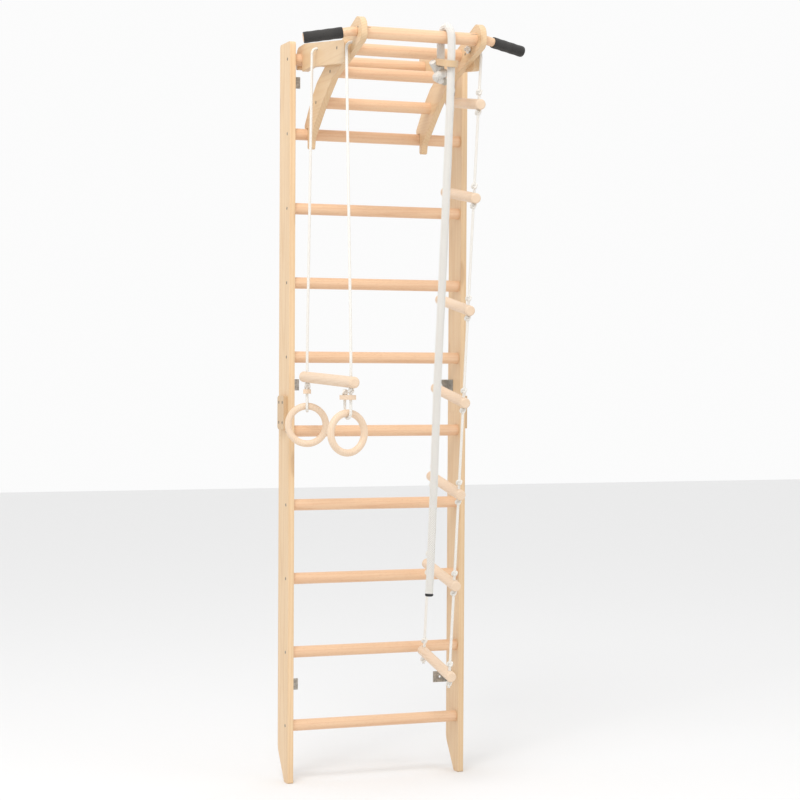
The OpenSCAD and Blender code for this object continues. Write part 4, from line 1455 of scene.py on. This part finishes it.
@dataclass
class Studio:
    """Floor, lights and camera.

    Attributes:
        place: The camera's place.
        yaw: Turn of the view to the right of +Y in degrees.
        pitch: Tilt of the view in degrees.
        roll: Roll of the view in degrees.
        lens: Focal length in millimetres on a 36 mm sensor.
        shift: Shift of the frame.
    """

    place: Point = (-2.1213, -5.6833, 0.0455)
    yaw: float = 20.002
    pitch: float = -1.74
    roll: float = 0.267
    lens: float = 89.42
    shift: tuple[float, float] = (0.0610, 0.0379)

    def camera(self) -> None:
        """Camera at the object's viewing angle."""
        data = bpy.data.cameras.new("view")
        data.lens, data.sensor_width, data.sensor_fit = self.lens, 36.0, "HORIZONTAL"
        data.shift_x, data.shift_y = self.shift
        data.clip_end = 60.0
        yaw, pitch, roll = (math.radians(a) for a in (self.yaw, self.pitch, self.roll))
        ahead = Vector((math.sin(yaw) * math.cos(pitch), math.cos(yaw) * math.cos(pitch), math.sin(pitch)))
        right = Vector((math.cos(yaw), -math.sin(yaw), 0.0))
        up = right.cross(ahead)
        across = math.cos(roll) * right + math.sin(roll) * up
        over = -math.sin(roll) * right + math.cos(roll) * up
        view = bpy.data.objects.new("view", data)
        view.matrix_world = Matrix((
            (across.x, over.x, -ahead.x, self.place[0]), (across.y, over.y, -ahead.y, self.place[1]),
            (across.z, over.z, -ahead.z, self.place[2]), (0.0, 0.0, 0.0, 1.0),
        ))
        bpy.context.scene.collection.objects.link(view)
        bpy.context.scene.camera = view

    def floor(self) -> None:
        """Pale matt floor under the feet."""
        low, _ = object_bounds()
        mesh = bpy.data.meshes.new("floor")
        size = 14.0
        corner_signs = ((-1, -1), (1, -1), (1, 1), (-1, 1))
        points = [(x * size, y * size, low.z) for x, y in corner_signs]
        mesh.from_pydata(points, [], [(0, 1, 2, 3)])
        material = bpy.data.materials.new("Studio floor")
        material.use_nodes = True
        shader = material.node_tree.nodes["Principled BSDF"]
        shader.inputs["Base Color"].default_value = (0.84, 0.84, 0.84, 1.0)
        shader.inputs["Roughness"].default_value = 0.9
        mesh.materials.append(material)
        ground = bpy.data.objects.new("floor", mesh)
        bpy.context.scene.collection.objects.link(ground)
        ground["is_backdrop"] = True

    def lamp(self, name: str, place: Point, target: Point, size: float, power: float) -> None:
        """Add a square soft light.

        Args:
            name: Name of the light.
            place: Where it stands.
            target: Where it points.
            size: Length of its side.
            power: Its power in watts.
        """
        data = bpy.data.lights.new(name, "AREA")
        data.shape, data.size, data.energy = "SQUARE", size, power
        light = bpy.data.objects.new(name, data)
        light.location = place
        light.rotation_euler = (Vector(target) - Vector(place)).to_track_quat("-Z", "Y").to_euler()
        bpy.context.scene.collection.objects.link(light)

    def build(self) -> None:
        """Set up the studio."""
        self.camera()
        self.floor()
        world = bpy.data.worlds.new("studio")
        world.use_nodes = True
        world.node_tree.nodes["Background"].inputs[0].default_value = (1.0, 1.0, 1.0, 1.0)
        world.node_tree.nodes["Background"].inputs[1].default_value = 0.97
        bpy.context.scene.world = world
        self.lamp("key", (-1.8, -2.4, 3.6), (0.0, -0.2, 0.3), 1.6, 85.0)
        self.lamp("fill", (2.8, -3.8, 1.6), (0.0, -0.2, 0.0), 2.6, 12.0)
        bpy.context.scene.view_settings.view_transform = "Standard"


def main() -> None:
    """Build every part of the object and its studio."""
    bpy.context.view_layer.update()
    Studio().build()
    for part in (ClimbingRope(), RopeLadder(), Trapeze(), PullUpFrame(), WallBars()):
        part.build()
        LOG.info("%s built", type(part).__name__)
    bpy.context.view_layer.update()


if __name__ == "__main__":
    main()
